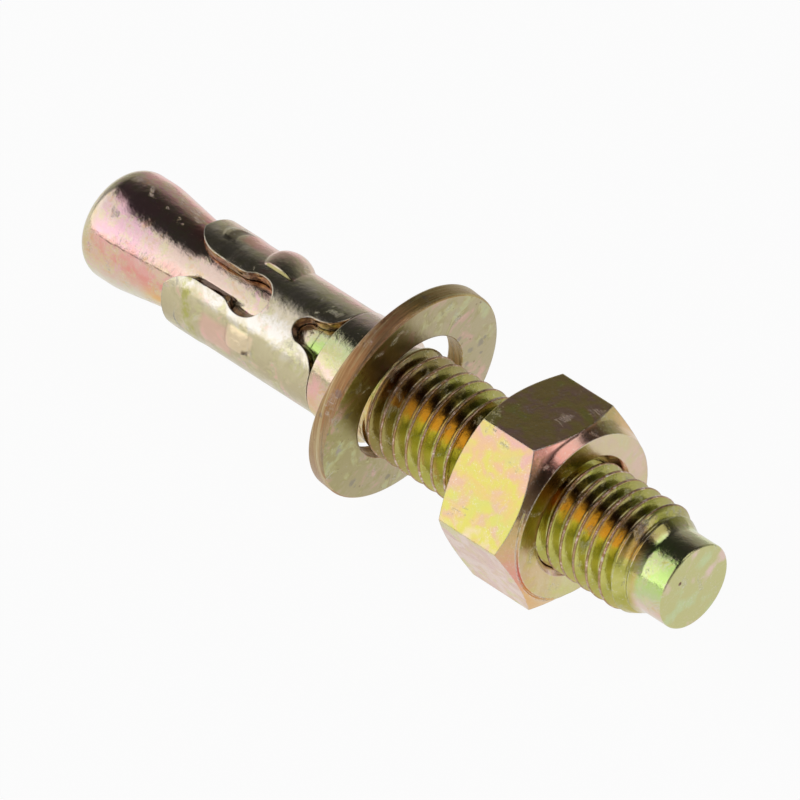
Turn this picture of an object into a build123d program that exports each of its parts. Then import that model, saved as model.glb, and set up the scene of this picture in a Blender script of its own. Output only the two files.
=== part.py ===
"""Wedge anchor, M12 x 80: a threaded stud with an expansion cone, a rolled clip, a washer and a nut.

Units are millimetres. Each piece is modelled along the stud's own axis: +X runs from the cone end to the
impact point, and +Z is the side that faces up when the anchor lies on its nut and washer. The assembly is
then leaned and moved so that it lies on the plane Z = 0, with its bounding box centred over the origin.
"""

import os
from math import asin, atan2, cos, degrees, hypot, radians, sin, sqrt, tan

from build123d import *

# Stud: cone, neck, stop collar, thread and impact point
STUD_LENGTH = 80.0
CONE_DIAMETER = 11.9
CONE_EDGE_RADIUS = 2.2
CONE_LAND_LENGTH = 4.6
CONE_HALF_ANGLE = 8.5
CONE_BLEND_RADIUS = 8.0
NECK_DIAMETER = 9.1
NECK_STEP_HEIGHT = 0.06
NECK_STEP_LENGTH = 2.05
COLLAR_DIAMETER = 12.0
COLLAR_START = 33.0
COLLAR_LENGTH = 5.4
COLLAR_EDGE = 0.25
SHANK_STEP = 0.6
SHANK_LENGTH = 1.6
THREAD_DIAMETER = 11.85
THREAD_START_LENGTH = 0.525
POINT_DIAMETER = 9.2
POINT_LENGTH = 3.4
POINT_TAPER_LENGTH = 2.6
POINT_BLEND_RADIUS = 1.0
POINT_EDGE_RADIUS = 0.25

# Expansion clip, with its outlines as seen square-on at the outside of the sheet
CLIP_LENGTH = 20.25
CLIP_WALL = 1.18
CLIP_BORE_CLEARANCE = 0.09
CLIP_END_PLAY = 0.15
CLIP_FLARE = 0.08
CLIP_FLARE_LENGTH = 3.6
CLIP_TIP_RELIEF = 0.16
CLIP_TIP_RELIEF_LENGTH = 1.6
CLIP_FINGERS = 3
CLIP_TURN = 38.0
SLOT_THROAT_WIDTH = 3.36
SLOT_LENGTH = 12.15
SLOT_BULB_RADIUS = 2.55
SLOT_SHOULDER_RADIUS = 1.5
SLOT_MOUTH_RADIUS = 3.7
SLOT_MOUTH_LENGTH = 3.55
NOTCH_WIDTH = 3.0
NOTCH_LENGTH = 4.2
SEAM_GAP = 0.7
KNOB_DISTANCE = 10.1
KNOB_TURN = -4.0
KNOB_LENGTH = 6.2
KNOB_ROUND = 6.5
KNOB_DEPTH = 1.65
KNOB_HEIGHT = 0.7
KNOB_LEAN = 8.0
KNOB_SHEARED_WIDTH = 4.3
KNOB_POCKET_WALL = 0.9

# Washer, leaning on the stud
WASHER_DIAMETER = 24.0
WASHER_HOLE_DIAMETER = 14.2
WASHER_THICKNESS = 2.0
WASHER_EDGE_RADIUS = 0.25
WASHER_CENTRE = 40.1
WASHER_SIDESTEP = 0.25
WASHER_LEAN = 7.4
WASHER_CLEARANCE = 0.06

# Hexagon nut
NUT_ACROSS_FLATS = 19.0
NUT_BACK_FACE = 54.55
NUT_BODY_HEIGHT = 10.0
NUT_FACE_DIAMETER = 16.4
NUT_CHAMFER_ANGLE = 30.0
NUT_CROWN_DIAMETER = 17.7
NUT_CROWN_HEIGHT = 0.5
NUT_CROWN_FLARE = 0.55
NUT_CROWN_BLEND_RADIUS = 0.8
NUT_CROWN_EDGE_RADIUS = 0.15
NUT_BORE_CLEARANCE = 0.1
NUT_COUNTERSINK_DIAMETER = 13.2

CLIP_BACK = COLLAR_START - CLIP_END_PLAY
CLIP_FRONT = CLIP_BACK - CLIP_LENGTH
CLIP_BORE_RADIUS = NECK_DIAMETER / 2 + NECK_STEP_HEIGHT + CLIP_BORE_CLEARANCE
CLIP_RADIUS = CLIP_BORE_RADIUS + CLIP_WALL


def turned(corners):
    """Solid turned about the stud axis from a closed half section.

    Each corner is (distance along the axis, radius of the piece, fillet radius of the corner).
    """
    points = [(along, radius) for along, radius, _ in corners]
    fillets = [fillet for _, _, fillet in corners]
    outline = FilletPolyline(*points, radius=fillets, close=True)
    return revolve(make_face(Plane.XZ * outline), Axis.X)


def stud():
    """One cold-formed piece: cone, neck, stop collar, thread at its crest diameter, impact point."""
    cone_r = CONE_DIAMETER / 2
    neck_r = NECK_DIAMETER / 2
    step_r = neck_r + NECK_STEP_HEIGHT
    collar_r = COLLAR_DIAMETER / 2
    shank_r = collar_r - SHANK_STEP
    thread_r = THREAD_DIAMETER / 2
    point_r = POINT_DIAMETER / 2
    cone_foot = CONE_LAND_LENGTH + (cone_r - neck_r) / tan(radians(CONE_HALF_ANGLE))
    step_start = COLLAR_START - NECK_STEP_LENGTH
    collar_end = COLLAR_START + COLLAR_LENGTH
    shank_end = collar_end + SHANK_LENGTH
    taper_end = STUD_LENGTH - POINT_LENGTH
    return turned([
        (0, 0, 0),
        (0, cone_r, CONE_EDGE_RADIUS),
        (CONE_LAND_LENGTH, cone_r, CONE_BLEND_RADIUS),
        (cone_foot, neck_r, CONE_BLEND_RADIUS),
        (step_start, neck_r, 0),
        (step_start + NECK_STEP_HEIGHT, step_r, 0),
        (COLLAR_START, step_r, 0),
        (COLLAR_START, collar_r - COLLAR_EDGE, 0),
        (COLLAR_START + COLLAR_EDGE, collar_r, 0),
        (collar_end - SHANK_STEP, collar_r, 0),
        (collar_end, shank_r, 0),
        (shank_end, shank_r, 0),
        (shank_end + THREAD_START_LENGTH, thread_r, 0),
        (taper_end - POINT_TAPER_LENGTH, thread_r, 0),
        (taper_end, point_r, POINT_BLEND_RADIUS),
        (STUD_LENGTH, point_r, POINT_EDGE_RADIUS),
        (STUD_LENGTH, 0, 0),
    ])


def arc(centre_x, centre_y, radius, start, end):
    """Start, middle and end point of an arc given by its centre and its angles in degrees."""
    angles = [radians(angle) for angle in (start, (start + end) / 2, end)]
    return [(centre_x + radius * cos(angle), centre_y + radius * sin(angle)) for angle in angles]


def slot_half_outline():
    """Keyhole slot between two fingers, from its closed end to its flared mouth."""
    throat = SLOT_THROAT_WIDTH / 2
    bulb_x = CLIP_FRONT + SLOT_LENGTH - SLOT_BULB_RADIUS
    reach = SLOT_BULB_RADIUS + SLOT_SHOULDER_RADIUS
    rise = throat + SLOT_SHOULDER_RADIUS
    shoulder_x = bulb_x - sqrt(reach**2 - rise**2)
    meeting = degrees(atan2(rise, shoulder_x - bulb_x))
    mouth_x = CLIP_FRONT + SLOT_MOUTH_LENGTH
    mouth_turn = degrees(asin(SLOT_MOUTH_LENGTH / SLOT_MOUTH_RADIUS))
    bulb = arc(bulb_x, 0, SLOT_BULB_RADIUS, 0, meeting)
    shoulder = arc(shoulder_x, rise, SLOT_SHOULDER_RADIUS, meeting - 180, -90)
    mouth = arc(mouth_x, throat + SLOT_MOUTH_RADIUS, SLOT_MOUTH_RADIUS, -90, -90 - mouth_turn)
    lip = (CLIP_FRONT - CLIP_WALL, mouth[-1][1])
    return [bulb, shoulder, [shoulder[-1], mouth[0]], mouth, [mouth[-1], lip]]


def notch_half_outline():
    """Bell-mouthed notch at the collar end, from its closed end to the open one."""
    half_width = NOTCH_WIDTH / 2
    flare_r = NOTCH_LENGTH - half_width
    flare_x = CLIP_BACK - flare_r
    closed = arc(flare_x, 0, half_width, 180, 90)
    flare = arc(flare_x, half_width + flare_r, flare_r, -90, 0)
    lip = (CLIP_BACK + CLIP_WALL, flare[-1][1])
    return [closed, flare, [flare[-1], lip]]


def radial_cutter(half_outline):
    """Solid above the stud axis with the mirrored outline as its section and walls that point at the axis."""
    sections = []
    for height in (CLIP_BORE_RADIUS - CLIP_WALL, CLIP_RADIUS + CLIP_WALL):
        widening = height / CLIP_RADIUS
        upper = [[(x, y * widening) for x, y in piece] for piece in half_outline]
        lower = [[(x, -y) for x, y in reversed(piece)] for piece in reversed(upper)]
        pieces = upper + [[upper[-1][-1], lower[0][0]]] + lower
        edges = [Line(*piece) if len(piece) == 2 else ThreePointArc(*piece) for piece in pieces]
        sections.append(Pos(Z=height) * make_face(edges))
    return loft(sections, ruled=True)


def knob():
    """Lanced knob on top of the clip: a leaning dome, sheared off straight along both sides."""
    middle = Pos(CLIP_FRONT + KNOB_DISTANCE, 0, CLIP_RADIUS + KNOB_HEIGHT - KNOB_DEPTH)
    half_size = (KNOB_LENGTH / 2, KNOB_ROUND / 2, KNOB_DEPTH)
    dome = middle * Rot(Y=KNOB_LEAN) * scale(Sphere(1), by=half_size)
    return dome & middle * Box(2 * KNOB_LENGTH, KNOB_SHEARED_WIDTH, 4 * KNOB_DEPTH)


def knob_pocket():
    """Hollow that the punch leaves behind the knob, open to the bore."""
    middle = Pos(CLIP_FRONT + KNOB_DISTANCE, 0, CLIP_RADIUS + KNOB_HEIGHT - KNOB_DEPTH)
    full_size = (KNOB_LENGTH / 2, KNOB_SHEARED_WIDTH / 2, KNOB_DEPTH)
    half_size = tuple(size - KNOB_POCKET_WALL for size in full_size)
    return middle * Rot(Y=KNOB_LEAN) * scale(Sphere(1), by=half_size)


def around(piece, first_turn):
    """The piece repeated once for each finger, turned about the stud axis from a first angle."""
    return [Rot(X=first_turn + 360 * finger / CLIP_FINGERS) * piece for finger in range(CLIP_FINGERS)]


def expansion_clip():
    """Sheet sleeve round the neck: fingers, keyhole slots, notches, lanced knobs and the open seam."""
    outer_r = CLIP_RADIUS
    flare_r = outer_r + CLIP_FLARE
    bore_r = CLIP_BORE_RADIUS
    sleeve = turned([
        (CLIP_FRONT, bore_r + CLIP_TIP_RELIEF, 0),
        (CLIP_FRONT, flare_r, 0),
        (CLIP_FRONT + CLIP_FLARE_LENGTH, flare_r, 0),
        (CLIP_FRONT + CLIP_FLARE_LENGTH + CLIP_WALL, outer_r, 0),
        (CLIP_BACK, outer_r, 0),
        (CLIP_BACK, bore_r, 0),
        (CLIP_FRONT + CLIP_TIP_RELIEF_LENGTH, bore_r, 0),
    ])
    bore = Pos(CLIP_FRONT, 0, 0) * Rot(Y=90) * Cylinder(
        bore_r, CLIP_LENGTH, align=(Align.CENTER, Align.CENTER, Align.MIN)
    )
    knob_turn = CLIP_TURN + 180 / CLIP_FINGERS + KNOB_TURN
    sleeve += around(knob() - bore, knob_turn)
    sleeve -= around(knob_pocket(), knob_turn)
    sleeve -= around(radial_cutter(slot_half_outline()), CLIP_TURN)
    sleeve -= around(radial_cutter(notch_half_outline()), CLIP_TURN)
    seam = Pos(CLIP_FRONT, 0, 0) * Box(
        CLIP_LENGTH, SEAM_GAP, 2 * outer_r, align=(Align.MIN, Align.CENTER, Align.MIN)
    )
    return sleeve - Rot(X=CLIP_TURN - 360 / CLIP_FINGERS) * seam


def washer_rise():
    """Height of the washer's centre above the stud axis when the washer carries the stud in its hole."""
    lean = radians(WASHER_LEAN)
    hole_foot = WASHER_HOLE_DIAMETER / 2 * cos(lean) - WASHER_THICKNESS / 2 * sin(lean)
    return hole_foot - COLLAR_DIAMETER / 2 - WASHER_CLEARANCE


def washer():
    """Stamped flat washer, leaning towards the nut."""
    half = WASHER_THICKNESS / 2
    outer_r = WASHER_DIAMETER / 2
    hole_r = WASHER_HOLE_DIAMETER / 2
    ring = turned([
        (-half, hole_r, 0),
        (-half, outer_r, WASHER_EDGE_RADIUS),
        (half, outer_r, WASHER_EDGE_RADIUS),
        (half, hole_r, 0),
    ])
    return Pos(WASHER_CENTRE, WASHER_SIDESTEP, washer_rise()) * Rot(Y=WASHER_LEAN) * ring


def chamfer_depth(radius):
    """Distance of the nut's end chamfer from the face at a given radius."""
    return (radius - NUT_FACE_DIAMETER / 2) * tan(radians(NUT_CHAMFER_ANGLE))


def hex_nut():
    """Hexagon nut: chamfered ends, a low round crown on the front face, a bore countersunk at both ends."""
    body_front = NUT_BACK_FACE + NUT_BODY_HEIGHT
    front_face = body_front + NUT_CROWN_HEIGHT
    face_r = NUT_FACE_DIAMETER / 2
    crown_r = NUT_CROWN_DIAMETER / 2
    crown_foot_r = crown_r + NUT_CROWN_FLARE
    corner_r = NUT_ACROSS_FLATS / sqrt(3)
    over_r = corner_r + 1
    bore_r = THREAD_DIAMETER / 2 + NUT_BORE_CLEARANCE
    sink_r = NUT_COUNTERSINK_DIAMETER / 2
    prism = Pos(NUT_BACK_FACE, 0, 0) * extrude(
        Plane.YZ * RegularPolygon(corner_r, 6), front_face - NUT_BACK_FACE
    )
    envelope = turned([
        (NUT_BACK_FACE, face_r, 0),
        (NUT_BACK_FACE + chamfer_depth(over_r), over_r, 0),
        (body_front - chamfer_depth(over_r), over_r, 0),
        (body_front - chamfer_depth(crown_foot_r), crown_foot_r, NUT_CROWN_BLEND_RADIUS),
        (front_face, crown_r, NUT_CROWN_EDGE_RADIUS),
        (front_face, sink_r, 0),
        (front_face - (sink_r - bore_r), bore_r, 0),
        (NUT_BACK_FACE + (sink_r - bore_r), bore_r, 0),
        (NUT_BACK_FACE, sink_r, 0),
    ])
    return prism & envelope


def rest_lean():
    """Angle in degrees by which the impact end lies lower than the cone end.

    The nut rests on the front end of its lower flat, the washer on the rounded front edge of its rim.
    """
    lean = radians(WASHER_LEAN)
    edge = WASHER_EDGE_RADIUS
    along = WASHER_THICKNESS / 2 - edge
    down = WASHER_DIAMETER / 2 - edge
    rim_x = WASHER_CENTRE + along * cos(lean) - down * sin(lean)
    rim_z = washer_rise() - along * sin(lean) - down * cos(lean)
    nut_x = NUT_BACK_FACE + NUT_BODY_HEIGHT - chamfer_depth(NUT_ACROSS_FLATS / 2)
    nut_z = -NUT_ACROSS_FLATS / 2
    span_x, span_z = nut_x - rim_x, nut_z - rim_z
    return degrees(atan2(span_z, span_x) + asin(edge / hypot(span_x, span_z)))


def lie_down(pieces):
    """The pieces leaned as they come to rest, with the middle of the bounding box's foot at the origin."""
    leaned = {name: Rot(Y=rest_lean()) * piece for name, piece in pieces.items()}
    box = Compound(list(leaned.values())).bounding_box()
    middle = box.center()
    move = Pos(-middle.X, -middle.Y, -box.min.Z)
    return {name: move * piece for name, piece in leaned.items()}


def main():
    """Build the pieces, lay them down and write one STEP file for each."""
    pieces = {
        "stud": stud(),
        "expansion_clip": expansion_clip(),
        "washer": washer(),
        "hex_nut": hex_nut(),
    }
    os.makedirs("parts", exist_ok=True)
    for name, piece in lie_down(pieces).items():
        export_step(piece, f"parts/{name}.step")


main()
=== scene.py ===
"""Looks of a wedge anchor: a plated stud with its rolled thread, expansion clip, washer and hexagon nut.

Sizes are millimetres in the stud's own frame, +X from the cone end to the impact point and +Z up. StudAxis
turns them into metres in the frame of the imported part. A turn is the angle about the stud, from +Z towards
-Y; the finishes count it in whole turns.
"""

import logging
import math
from dataclasses import dataclass
from enum import Enum, auto
from functools import reduce
from typing import Callable, Mapping, Sequence

import bmesh
import bpy
import numpy as np
from mathutils import Matrix, Vector


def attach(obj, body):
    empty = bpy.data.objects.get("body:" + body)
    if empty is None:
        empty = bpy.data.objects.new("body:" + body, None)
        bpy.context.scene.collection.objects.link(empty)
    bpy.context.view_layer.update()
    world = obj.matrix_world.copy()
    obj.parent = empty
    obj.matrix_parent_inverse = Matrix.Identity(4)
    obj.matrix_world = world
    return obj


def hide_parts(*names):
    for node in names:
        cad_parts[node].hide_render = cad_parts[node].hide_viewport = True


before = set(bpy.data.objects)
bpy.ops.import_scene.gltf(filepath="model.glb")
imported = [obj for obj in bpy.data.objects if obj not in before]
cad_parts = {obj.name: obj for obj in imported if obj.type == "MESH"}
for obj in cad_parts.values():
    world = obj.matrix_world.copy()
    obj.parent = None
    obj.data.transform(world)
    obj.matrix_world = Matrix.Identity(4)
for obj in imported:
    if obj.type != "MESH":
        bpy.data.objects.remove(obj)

LOG = logging.getLogger("wedge_anchor")
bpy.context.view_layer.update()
MM = 0.001
HUNDREDTH = 0.00001
WELD = 0.003
SHARP = 32.0
COLUMNS = 144
FINGER_STEP = 120.0

Colour = tuple[float, float, float]
Corner = tuple[float, float, float]
Node = bpy.types.Node
Socket = bpy.types.NodeSocket
Sockets = bpy.types.bpy_prop_collection


class Film(Enum):
    """Tints that the passivation film takes over zinc; some also serve as painted shade, painted highlights
    and painted reflections.
    """

    ZINC = "E9E3DB"
    CREAM = "DCD0BA"
    STRAW = "D3C8A2"
    KHAKI = "BDB08C"
    GOLD = "D9BE78"
    YELLOW = "DAD268"
    LEMON = "DADB98"
    LIME = "BFDC82"
    MOSS = "AFAF50"
    AMBER = "E4BC60"
    HONEY = "D3CA69"
    LEAF = "CDCA72"
    REED = "CBC88E"
    PEACH = "DBB788"
    WHEAT = "F0D8B6"
    SHELL = "D8ACA2"
    SAGE = "CAD4A0"
    OLIVE = "A79E62"
    ORANGE = "E8B874"
    SALMON = "E79F92"
    ROSE = "EDB9B0"
    PINK = "E8BEC8"
    BLUSH = "E6CCBE"
    TAN = "C6A878"
    BRONZE = "A9855A"
    COPPER = "B08062"
    RUST = "A2643F"
    BROWN = "7A5C46"
    UMBER = "4E3A2C"
    LILAC = "A79CA8"
    SLATE = "77707A"

    def linear(self) -> Colour:
        """The tint as linear red, green and blue."""
        shares = [int(self.value[i : i + 2], 16) / 255 for i in (0, 2, 4)]
        linear = [s / 12.92 if s <= 0.04045 else ((s + 0.055) / 1.055) ** 2.4 for s in shares]
        return linear[0], linear[1], linear[2]


@dataclass(frozen=True)
class StudAxis:
    """The stud's own frame as it lies in the row frame."""

    origin: tuple[float, float, float] = (-39.927618, -0.25, 13.764806)
    lean: float = math.radians(3.851278576)

    def to_row(self) -> Matrix:
        """Transform from millimetres along the stud to metres in the row frame."""
        place = Matrix.Translation([MM * value for value in self.origin])
        return place @ Matrix.Rotation(self.lean, 4, "Y") @ Matrix.Scale(MM, 4)

    def to_stud(self) -> tuple[Matrix, Matrix]:
        """Transform back to millimetres along the stud, and the same for directions alone."""
        back = self.to_row().inverted()
        return back, back.to_3x3().normalized()

    def row_origin(self) -> Vector:
        """Where the row frame's origin lies in the stud's frame, in millimetres."""
        return Matrix.Rotation(-self.lean, 3, "Y") @ -Vector(self.origin)


AXIS = StudAxis()


class Sketch:
    """A node tree being drawn, with short calls for the nodes used most."""

    ROW_LENGTH = 12
    GAP = (180, -220)

    def __init__(self, tree: bpy.types.NodeTree) -> None:
        """Start drawing in an empty shader or geometry tree."""
        self.tree = tree
        self.count = 0

    def own_sockets(self, way: str, kinds: Mapping[str, str]) -> None:
        """Add the tree's own sockets, each with its name and kind; the way is INPUT or OUTPUT."""
        for name, kind in kinds.items():
            self.tree.interface.new_socket(name=name, in_out=way, socket_type=f"NodeSocket{kind}")

    def node(self, kind: str, inputs: Mapping[object, object] | None = None, **settings: object) -> Node:
        """Add a node.

        Args:
            kind: Blender's name of the node type.
            inputs: what goes into its inputs, by name or number.
            **settings: properties of the node itself.

        Returns:
            The new node.
        """
        made = self.tree.nodes.new(kind)
        for key, value in settings.items():
            setattr(made, key, value)
        for key, value in (inputs or {}).items():
            self.feed(made.inputs[key], value)
        row, column = divmod(self.count, self.ROW_LENGTH)
        made.location = (self.GAP[0] * column, self.GAP[1] * row)
        self.count += 1
        return made

    def feed(self, socket: Socket, value: object) -> None:
        """Link a socket into an input, or set the input to a plain value.

        Args:
            socket: the input.
            value: an output socket, a number, a vector, a colour or a film tint.
        """
        value = value.linear() if isinstance(value, Film) else value
        if isinstance(value, Socket):
            self.tree.links.new(value, socket)
        elif socket.type == "RGBA" and len(value) == 3:
            socket.default_value = (*value, 1.0)
        else:
            socket.default_value = value

    def math(self, operation: str, *values: object) -> Socket:
        """Arithmetic on one to three numbers, by the operation's name in capitals."""
        return self.node("ShaderNodeMath", dict(enumerate(values)), operation=operation).outputs[0]

    def times(self, *values: object) -> Socket:
        """The product of any number of values."""
        return reduce(lambda first, second: self.math("MULTIPLY", first, second), values)

    def plus(self, first: object, second: object) -> Socket:
        """The sum of two values."""
        return self.math("ADD", first, second)

    def minus(self, first: object, second: object) -> Socket:
        """The first value less the second."""
        return self.math("SUBTRACT", first, second)

    def ramp(self, value: object, low: object, high: object, to_low: object = 0.0,
             to_high: object = 1.0, smooth: bool = True) -> Socket:
        """A clamped change from one value to another.

        Args:
            value: what drives the change.
            low: where the change starts.
            high: where it ends.
            to_low: the value before it.
            to_high: the value after it.
            smooth: whether it eases in and out.

        Returns:
            The result.
        """
        kind = "SMOOTHSTEP" if smooth else "LINEAR"
        ends = {"Value": value, "From Min": low, "From Max": high, "To Min": to_low, "To Max": to_high}
        return self.node("ShaderNodeMapRange", ends, interpolation_type=kind, clamp=True).outputs["Result"]

    def noise(self, vector: object, scale: object, detail: float = 3.0, rough: float = 0.55,
              distortion: float = 0.0) -> Socket:
        """Cloudy noise from 0 to 1.

        Args:
            vector: where the noise is read, in millimetres.
            scale: blotches in a millimetre.
            detail: octaves of finer noise.
            rough: how strong the finer octaves are.
            distortion: how far the blotches swirl.

        Returns:
            The noise.
        """
        form = {"Vector": vector, "Scale": scale, "Detail": detail, "Roughness": rough,
                "Distortion": distortion}
        return self.node("ShaderNodeTexNoise", form, noise_dimensions="3D").outputs["Fac"]

    def cells(self, place: object, scale: object, feature: str, warp: tuple[float, float, float]) -> Sockets:
        """Random cells whose borders wander.

        Args:
            place: where the cells are read, in millimetres.
            scale: cells in a millimetre.
            feature: Blender's name of what is measured in a cell.
            warp: scale and detail of the noise that moves the borders, and how far it moves them.

        Returns:
            The outputs of the cells.
        """
        noise = {"Vector": place, "Scale": warp[0], "Detail": warp[1]}
        swirl = self.node("ShaderNodeTexNoise", noise, noise_dimensions="3D").outputs["Color"]
        form = {"Vector": self.moved(place, swirl, warp[2]), "Scale": scale}
        return self.node("ShaderNodeTexVoronoi", form, voronoi_dimensions="3D", feature=feature).outputs

    def moved(self, place: object, heading: object, reach: float) -> Socket:
        """A place moved by a number of times a vector."""
        parts = {0: heading, 1: (reach, reach, reach), 2: place}
        return self.node("ShaderNodeVectorMath", parts, operation="MULTIPLY_ADD").outputs[0]

    def shades(self, value: object, stops: Sequence[tuple[float, Colour]]) -> Socket:
        """A colour ramp.

        Args:
            value: a number from 0 to 1.
            stops: pairs of position and colour.

        Returns:
            The colour.
        """
        made = self.node("ShaderNodeValToRGB", {"Fac": value})
        elements = made.color_ramp.elements
        while len(elements) < len(stops):
            elements.new(1.0)
        for element, (place, colour) in zip(elements, stops):
            element.position = place
            element.color = (*colour, 1.0)
        return made.outputs["Color"]

    def films(self, value: object, text: str) -> Socket:
        """A colour ramp of film tints.

        Args:
            value: a number from 0 to 1.
            text: the position and the tint of each stop, with commas between the stops.

        Returns:
            The colour.
        """
        pairs = [stop.split() for stop in text.split(",")]
        return self.shades(value, [(float(place), Film[name].linear()) for place, name in pairs])

    def over(self, below: object, coat: object, *shares: object) -> Socket:
        """Lay a colour over another.

        Args:
            below: the colour below.
            coat: the colour or film tint above.
            *shares: masks and numbers whose product says how much of it shows.

        Returns:
            The mixed colour.
        """
        # The mix node's colours are its inputs 6 and 7 and its output 2.
        layers = {0: self.times(*shares), 6: below, 7: coat}
        return self.node("ShaderNodeMix", layers, data_type="RGBA", clamp_factor=True).outputs[2]

    def stored(self, name: str) -> Socket:
        """The number that the mesh stores under a name."""
        return self.node("ShaderNodeAttribute", attribute_name=name).outputs["Fac"]

    def near(self, value: object, middle: float, reach: float, edge: float) -> Socket:
        """A soft mask of 1 close to a value.

        Args:
            value: what is compared.
            middle: the value at the mask's middle.
            reach: how far the full mask reaches.
            edge: how far the soft edge reaches past it.

        Returns:
            The mask.
        """
        return self.ramp(self.math("ABSOLUTE", self.minus(value, middle)), reach + edge, reach)

    def spot(self, place: object, middle: Sequence[float], reach: float) -> Socket:
        """A soft mask round a point.

        Args:
            place: where the mask is read, in millimetres.
            middle: the point.
            reach: the distance at which the mask has gone.

        Returns:
            The mask.
        """
        made = self.node("ShaderNodeVectorMath", {0: place, 1: middle}, operation="DISTANCE")
        return self.ramp(made.outputs["Value"], reach, reach * 0.4)

    def joined(self, x: object, y: object, z: object) -> Socket:
        """A vector from three numbers."""
        return self.node("ShaderNodeCombineXYZ", {0: x, 1: y, 2: z}).outputs[0]

    def parts(self, vector: object) -> Sockets:
        """The three numbers of a vector."""
        return self.node("ShaderNodeSeparateXYZ", {0: vector}).outputs


class SharedGroup(Sketch):
    """A shader node group that several finishes use, built once.

    Attributes:
        title: the group's name.
        vectors: the names of its inputs that take a vector.
        numbers: the names of those that take a number.
    """

    title = "shared"
    vectors: tuple[str, ...] = ()
    numbers: tuple[str, ...] = ()

    def __init__(self) -> None:
        """Build the group's tree."""
        super().__init__(bpy.data.node_groups.new(self.title, "ShaderNodeTree"))
        self.own_sockets("INPUT", {**dict.fromkeys(self.vectors, "Vector"),
                                   **dict.fromkeys(self.numbers, "Float")})
        results = self.draw(self.node("NodeGroupInput").outputs)
        self.own_sockets("OUTPUT", {name: "Vector" if result.type == "VECTOR" else "Float"
                                    for name, result in results.items()})
        self.node("NodeGroupOutput", results)

    def draw(self, given: Sockets) -> dict[str, Socket]:
        """Fill the tree.

        Args:
            given: the group's inputs.

        Returns:
            The group's outputs by name.
        """
        raise NotImplementedError

    def place(self, sketch: Sketch, **values: object) -> Sockets:
        """Place the group in a material with values for its inputs, and give its outputs."""
        return sketch.node("ShaderNodeGroup", values, node_tree=self.tree).outputs


class AroundStud(SharedGroup):
    """Where a point is on the stud: along it, round it and out from it.

    Attributes:
        lathe: how dense marks of turning are along the stud and round it.
        drawing: the same for marks that run along the stud.
    """

    title = "around_the_stud"
    lathe = (5.0, 1.2)
    drawing = (0.35, 16.0)

    def draw(self, given: Sockets) -> dict[str, Socket]:
        """Turn object coordinates into millimetres and turns about the stud.

        Args:
            given: unused, because the group has no inputs.

        Returns:
            The place, its parts, and the place as marks of turning and of drawing see it.
        """
        here = self.node("ShaderNodeTexCoord").outputs["Object"]
        place = self.node("ShaderNodeMapping", {
            "Vector": here, "Scale": (1 / MM, 1 / MM, 1 / MM), "Rotation": (0.0, -AXIS.lean, 0.0),
            "Location": AXIS.row_origin()}, vector_type="POINT").outputs["Vector"]
        along, side, up = self.parts(place)
        angle = self.math("ARCTAN2", self.times(side, -1.0), up)
        turn = self.math("FRACT", self.math("DIVIDE", angle, math.tau))
        radius = self.math("SQRT", self.plus(self.times(side, side), self.times(up, up)))
        out = self.joined(self.times(radius, 0.3), self.math("SINE", angle), self.math("COSINE", angle))
        lathe, drawn = (
            self.moved(self.joined(self.times(along, lengthwise), 0.0, 0.0), out, across)
            for lengthwise, across in (self.lathe, self.drawing))
        return {"Place": place, "Along": along, "Turn": turn, "Radius": radius,
                "Lathe": lathe, "Drawn": drawn}


class EdgeWear(SharedGroup):
    """Where an outer edge has rubbed through the plating's colour."""

    title = "edge_wear"
    vectors = ("Place",)
    numbers = ("Width",)

    def draw(self, given: Sockets) -> dict[str, Socket]:
        """Compare the rounded normal with the true one, and break the line up with noise.

        Args:
            given: the place, and the width in metres.

        Returns:
            The wear mask and the rounded normal.
        """
        rounded = self.node("ShaderNodeBevel", {"Radius": given["Width"]}, samples=6).outputs["Normal"]
        flat = self.node("ShaderNodeNewGeometry").outputs["Normal"]
        agree = self.node("ShaderNodeVectorMath", {0: rounded, 1: flat}, operation="DOT_PRODUCT")
        edge = self.ramp(agree.outputs["Value"], 0.995, 0.9)
        patch = self.ramp(self.noise(given["Place"], 1.7, 4.0, 0.7), 0.4, 0.58)
        return {"Wear": self.times(edge, patch), "Normal": rounded}


class Scratches(SharedGroup):
    """Fine scratches that run one way, in broken bunches."""

    title = "scratches"
    vectors = ("Stretched", "Place")
    numbers = ("Scale", "Amount")

    def draw(self, given: Sockets) -> dict[str, Socket]:
        """Thin lines where stretched noise crosses its middle, kept only in some patches.

        Args:
            given: stretched and plain places, the fineness and how much is scratched.

        Returns:
            The mask of the scratches and their depth.
        """
        lines = self.noise(given["Stretched"], given["Scale"], 4.0, 0.75)
        thin = self.ramp(self.math("ABSOLUTE", self.minus(lines, 0.5)), 0.035, 0.0)
        bunch = self.noise(given["Place"], 0.45, 3.0, 0.6)
        keep = self.minus(0.78, self.times(given["Amount"], 0.45))
        mask = self.times(thin, self.ramp(bunch, keep, self.plus(keep, 0.1)))
        return {"Mask": mask, "Height": self.minus(lines, mask)}


class Pits(SharedGroup):
    """Small round spots of uneven size, such as pits and specks in the plating."""

    title = "pits"
    vectors = ("Place",)
    numbers = ("Scale", "Size", "Share")

    def draw(self, given: Sockets) -> dict[str, Socket]:
        """Soft discs round the centres of random cells, in some of the cells only.

        Args:
            given: the place, cells in a millimetre, spot size in cells and the share of cells.

        Returns:
            The mask of the spots.
        """
        cells = self.cells(given["Place"], given["Scale"], "F1", (2.2, 2.0, 0.5))
        lot = self.node("ShaderNodeSeparateColor", {0: cells["Color"]}).outputs
        chosen = self.math("LESS_THAN", lot[0], given["Share"])
        size = self.times(given["Size"], self.plus(0.35, lot[1]))
        disc = self.ramp(cells["Distance"], size, self.times(size, 0.55))
        return {"Mask": self.times(disc, chosen)}


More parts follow.
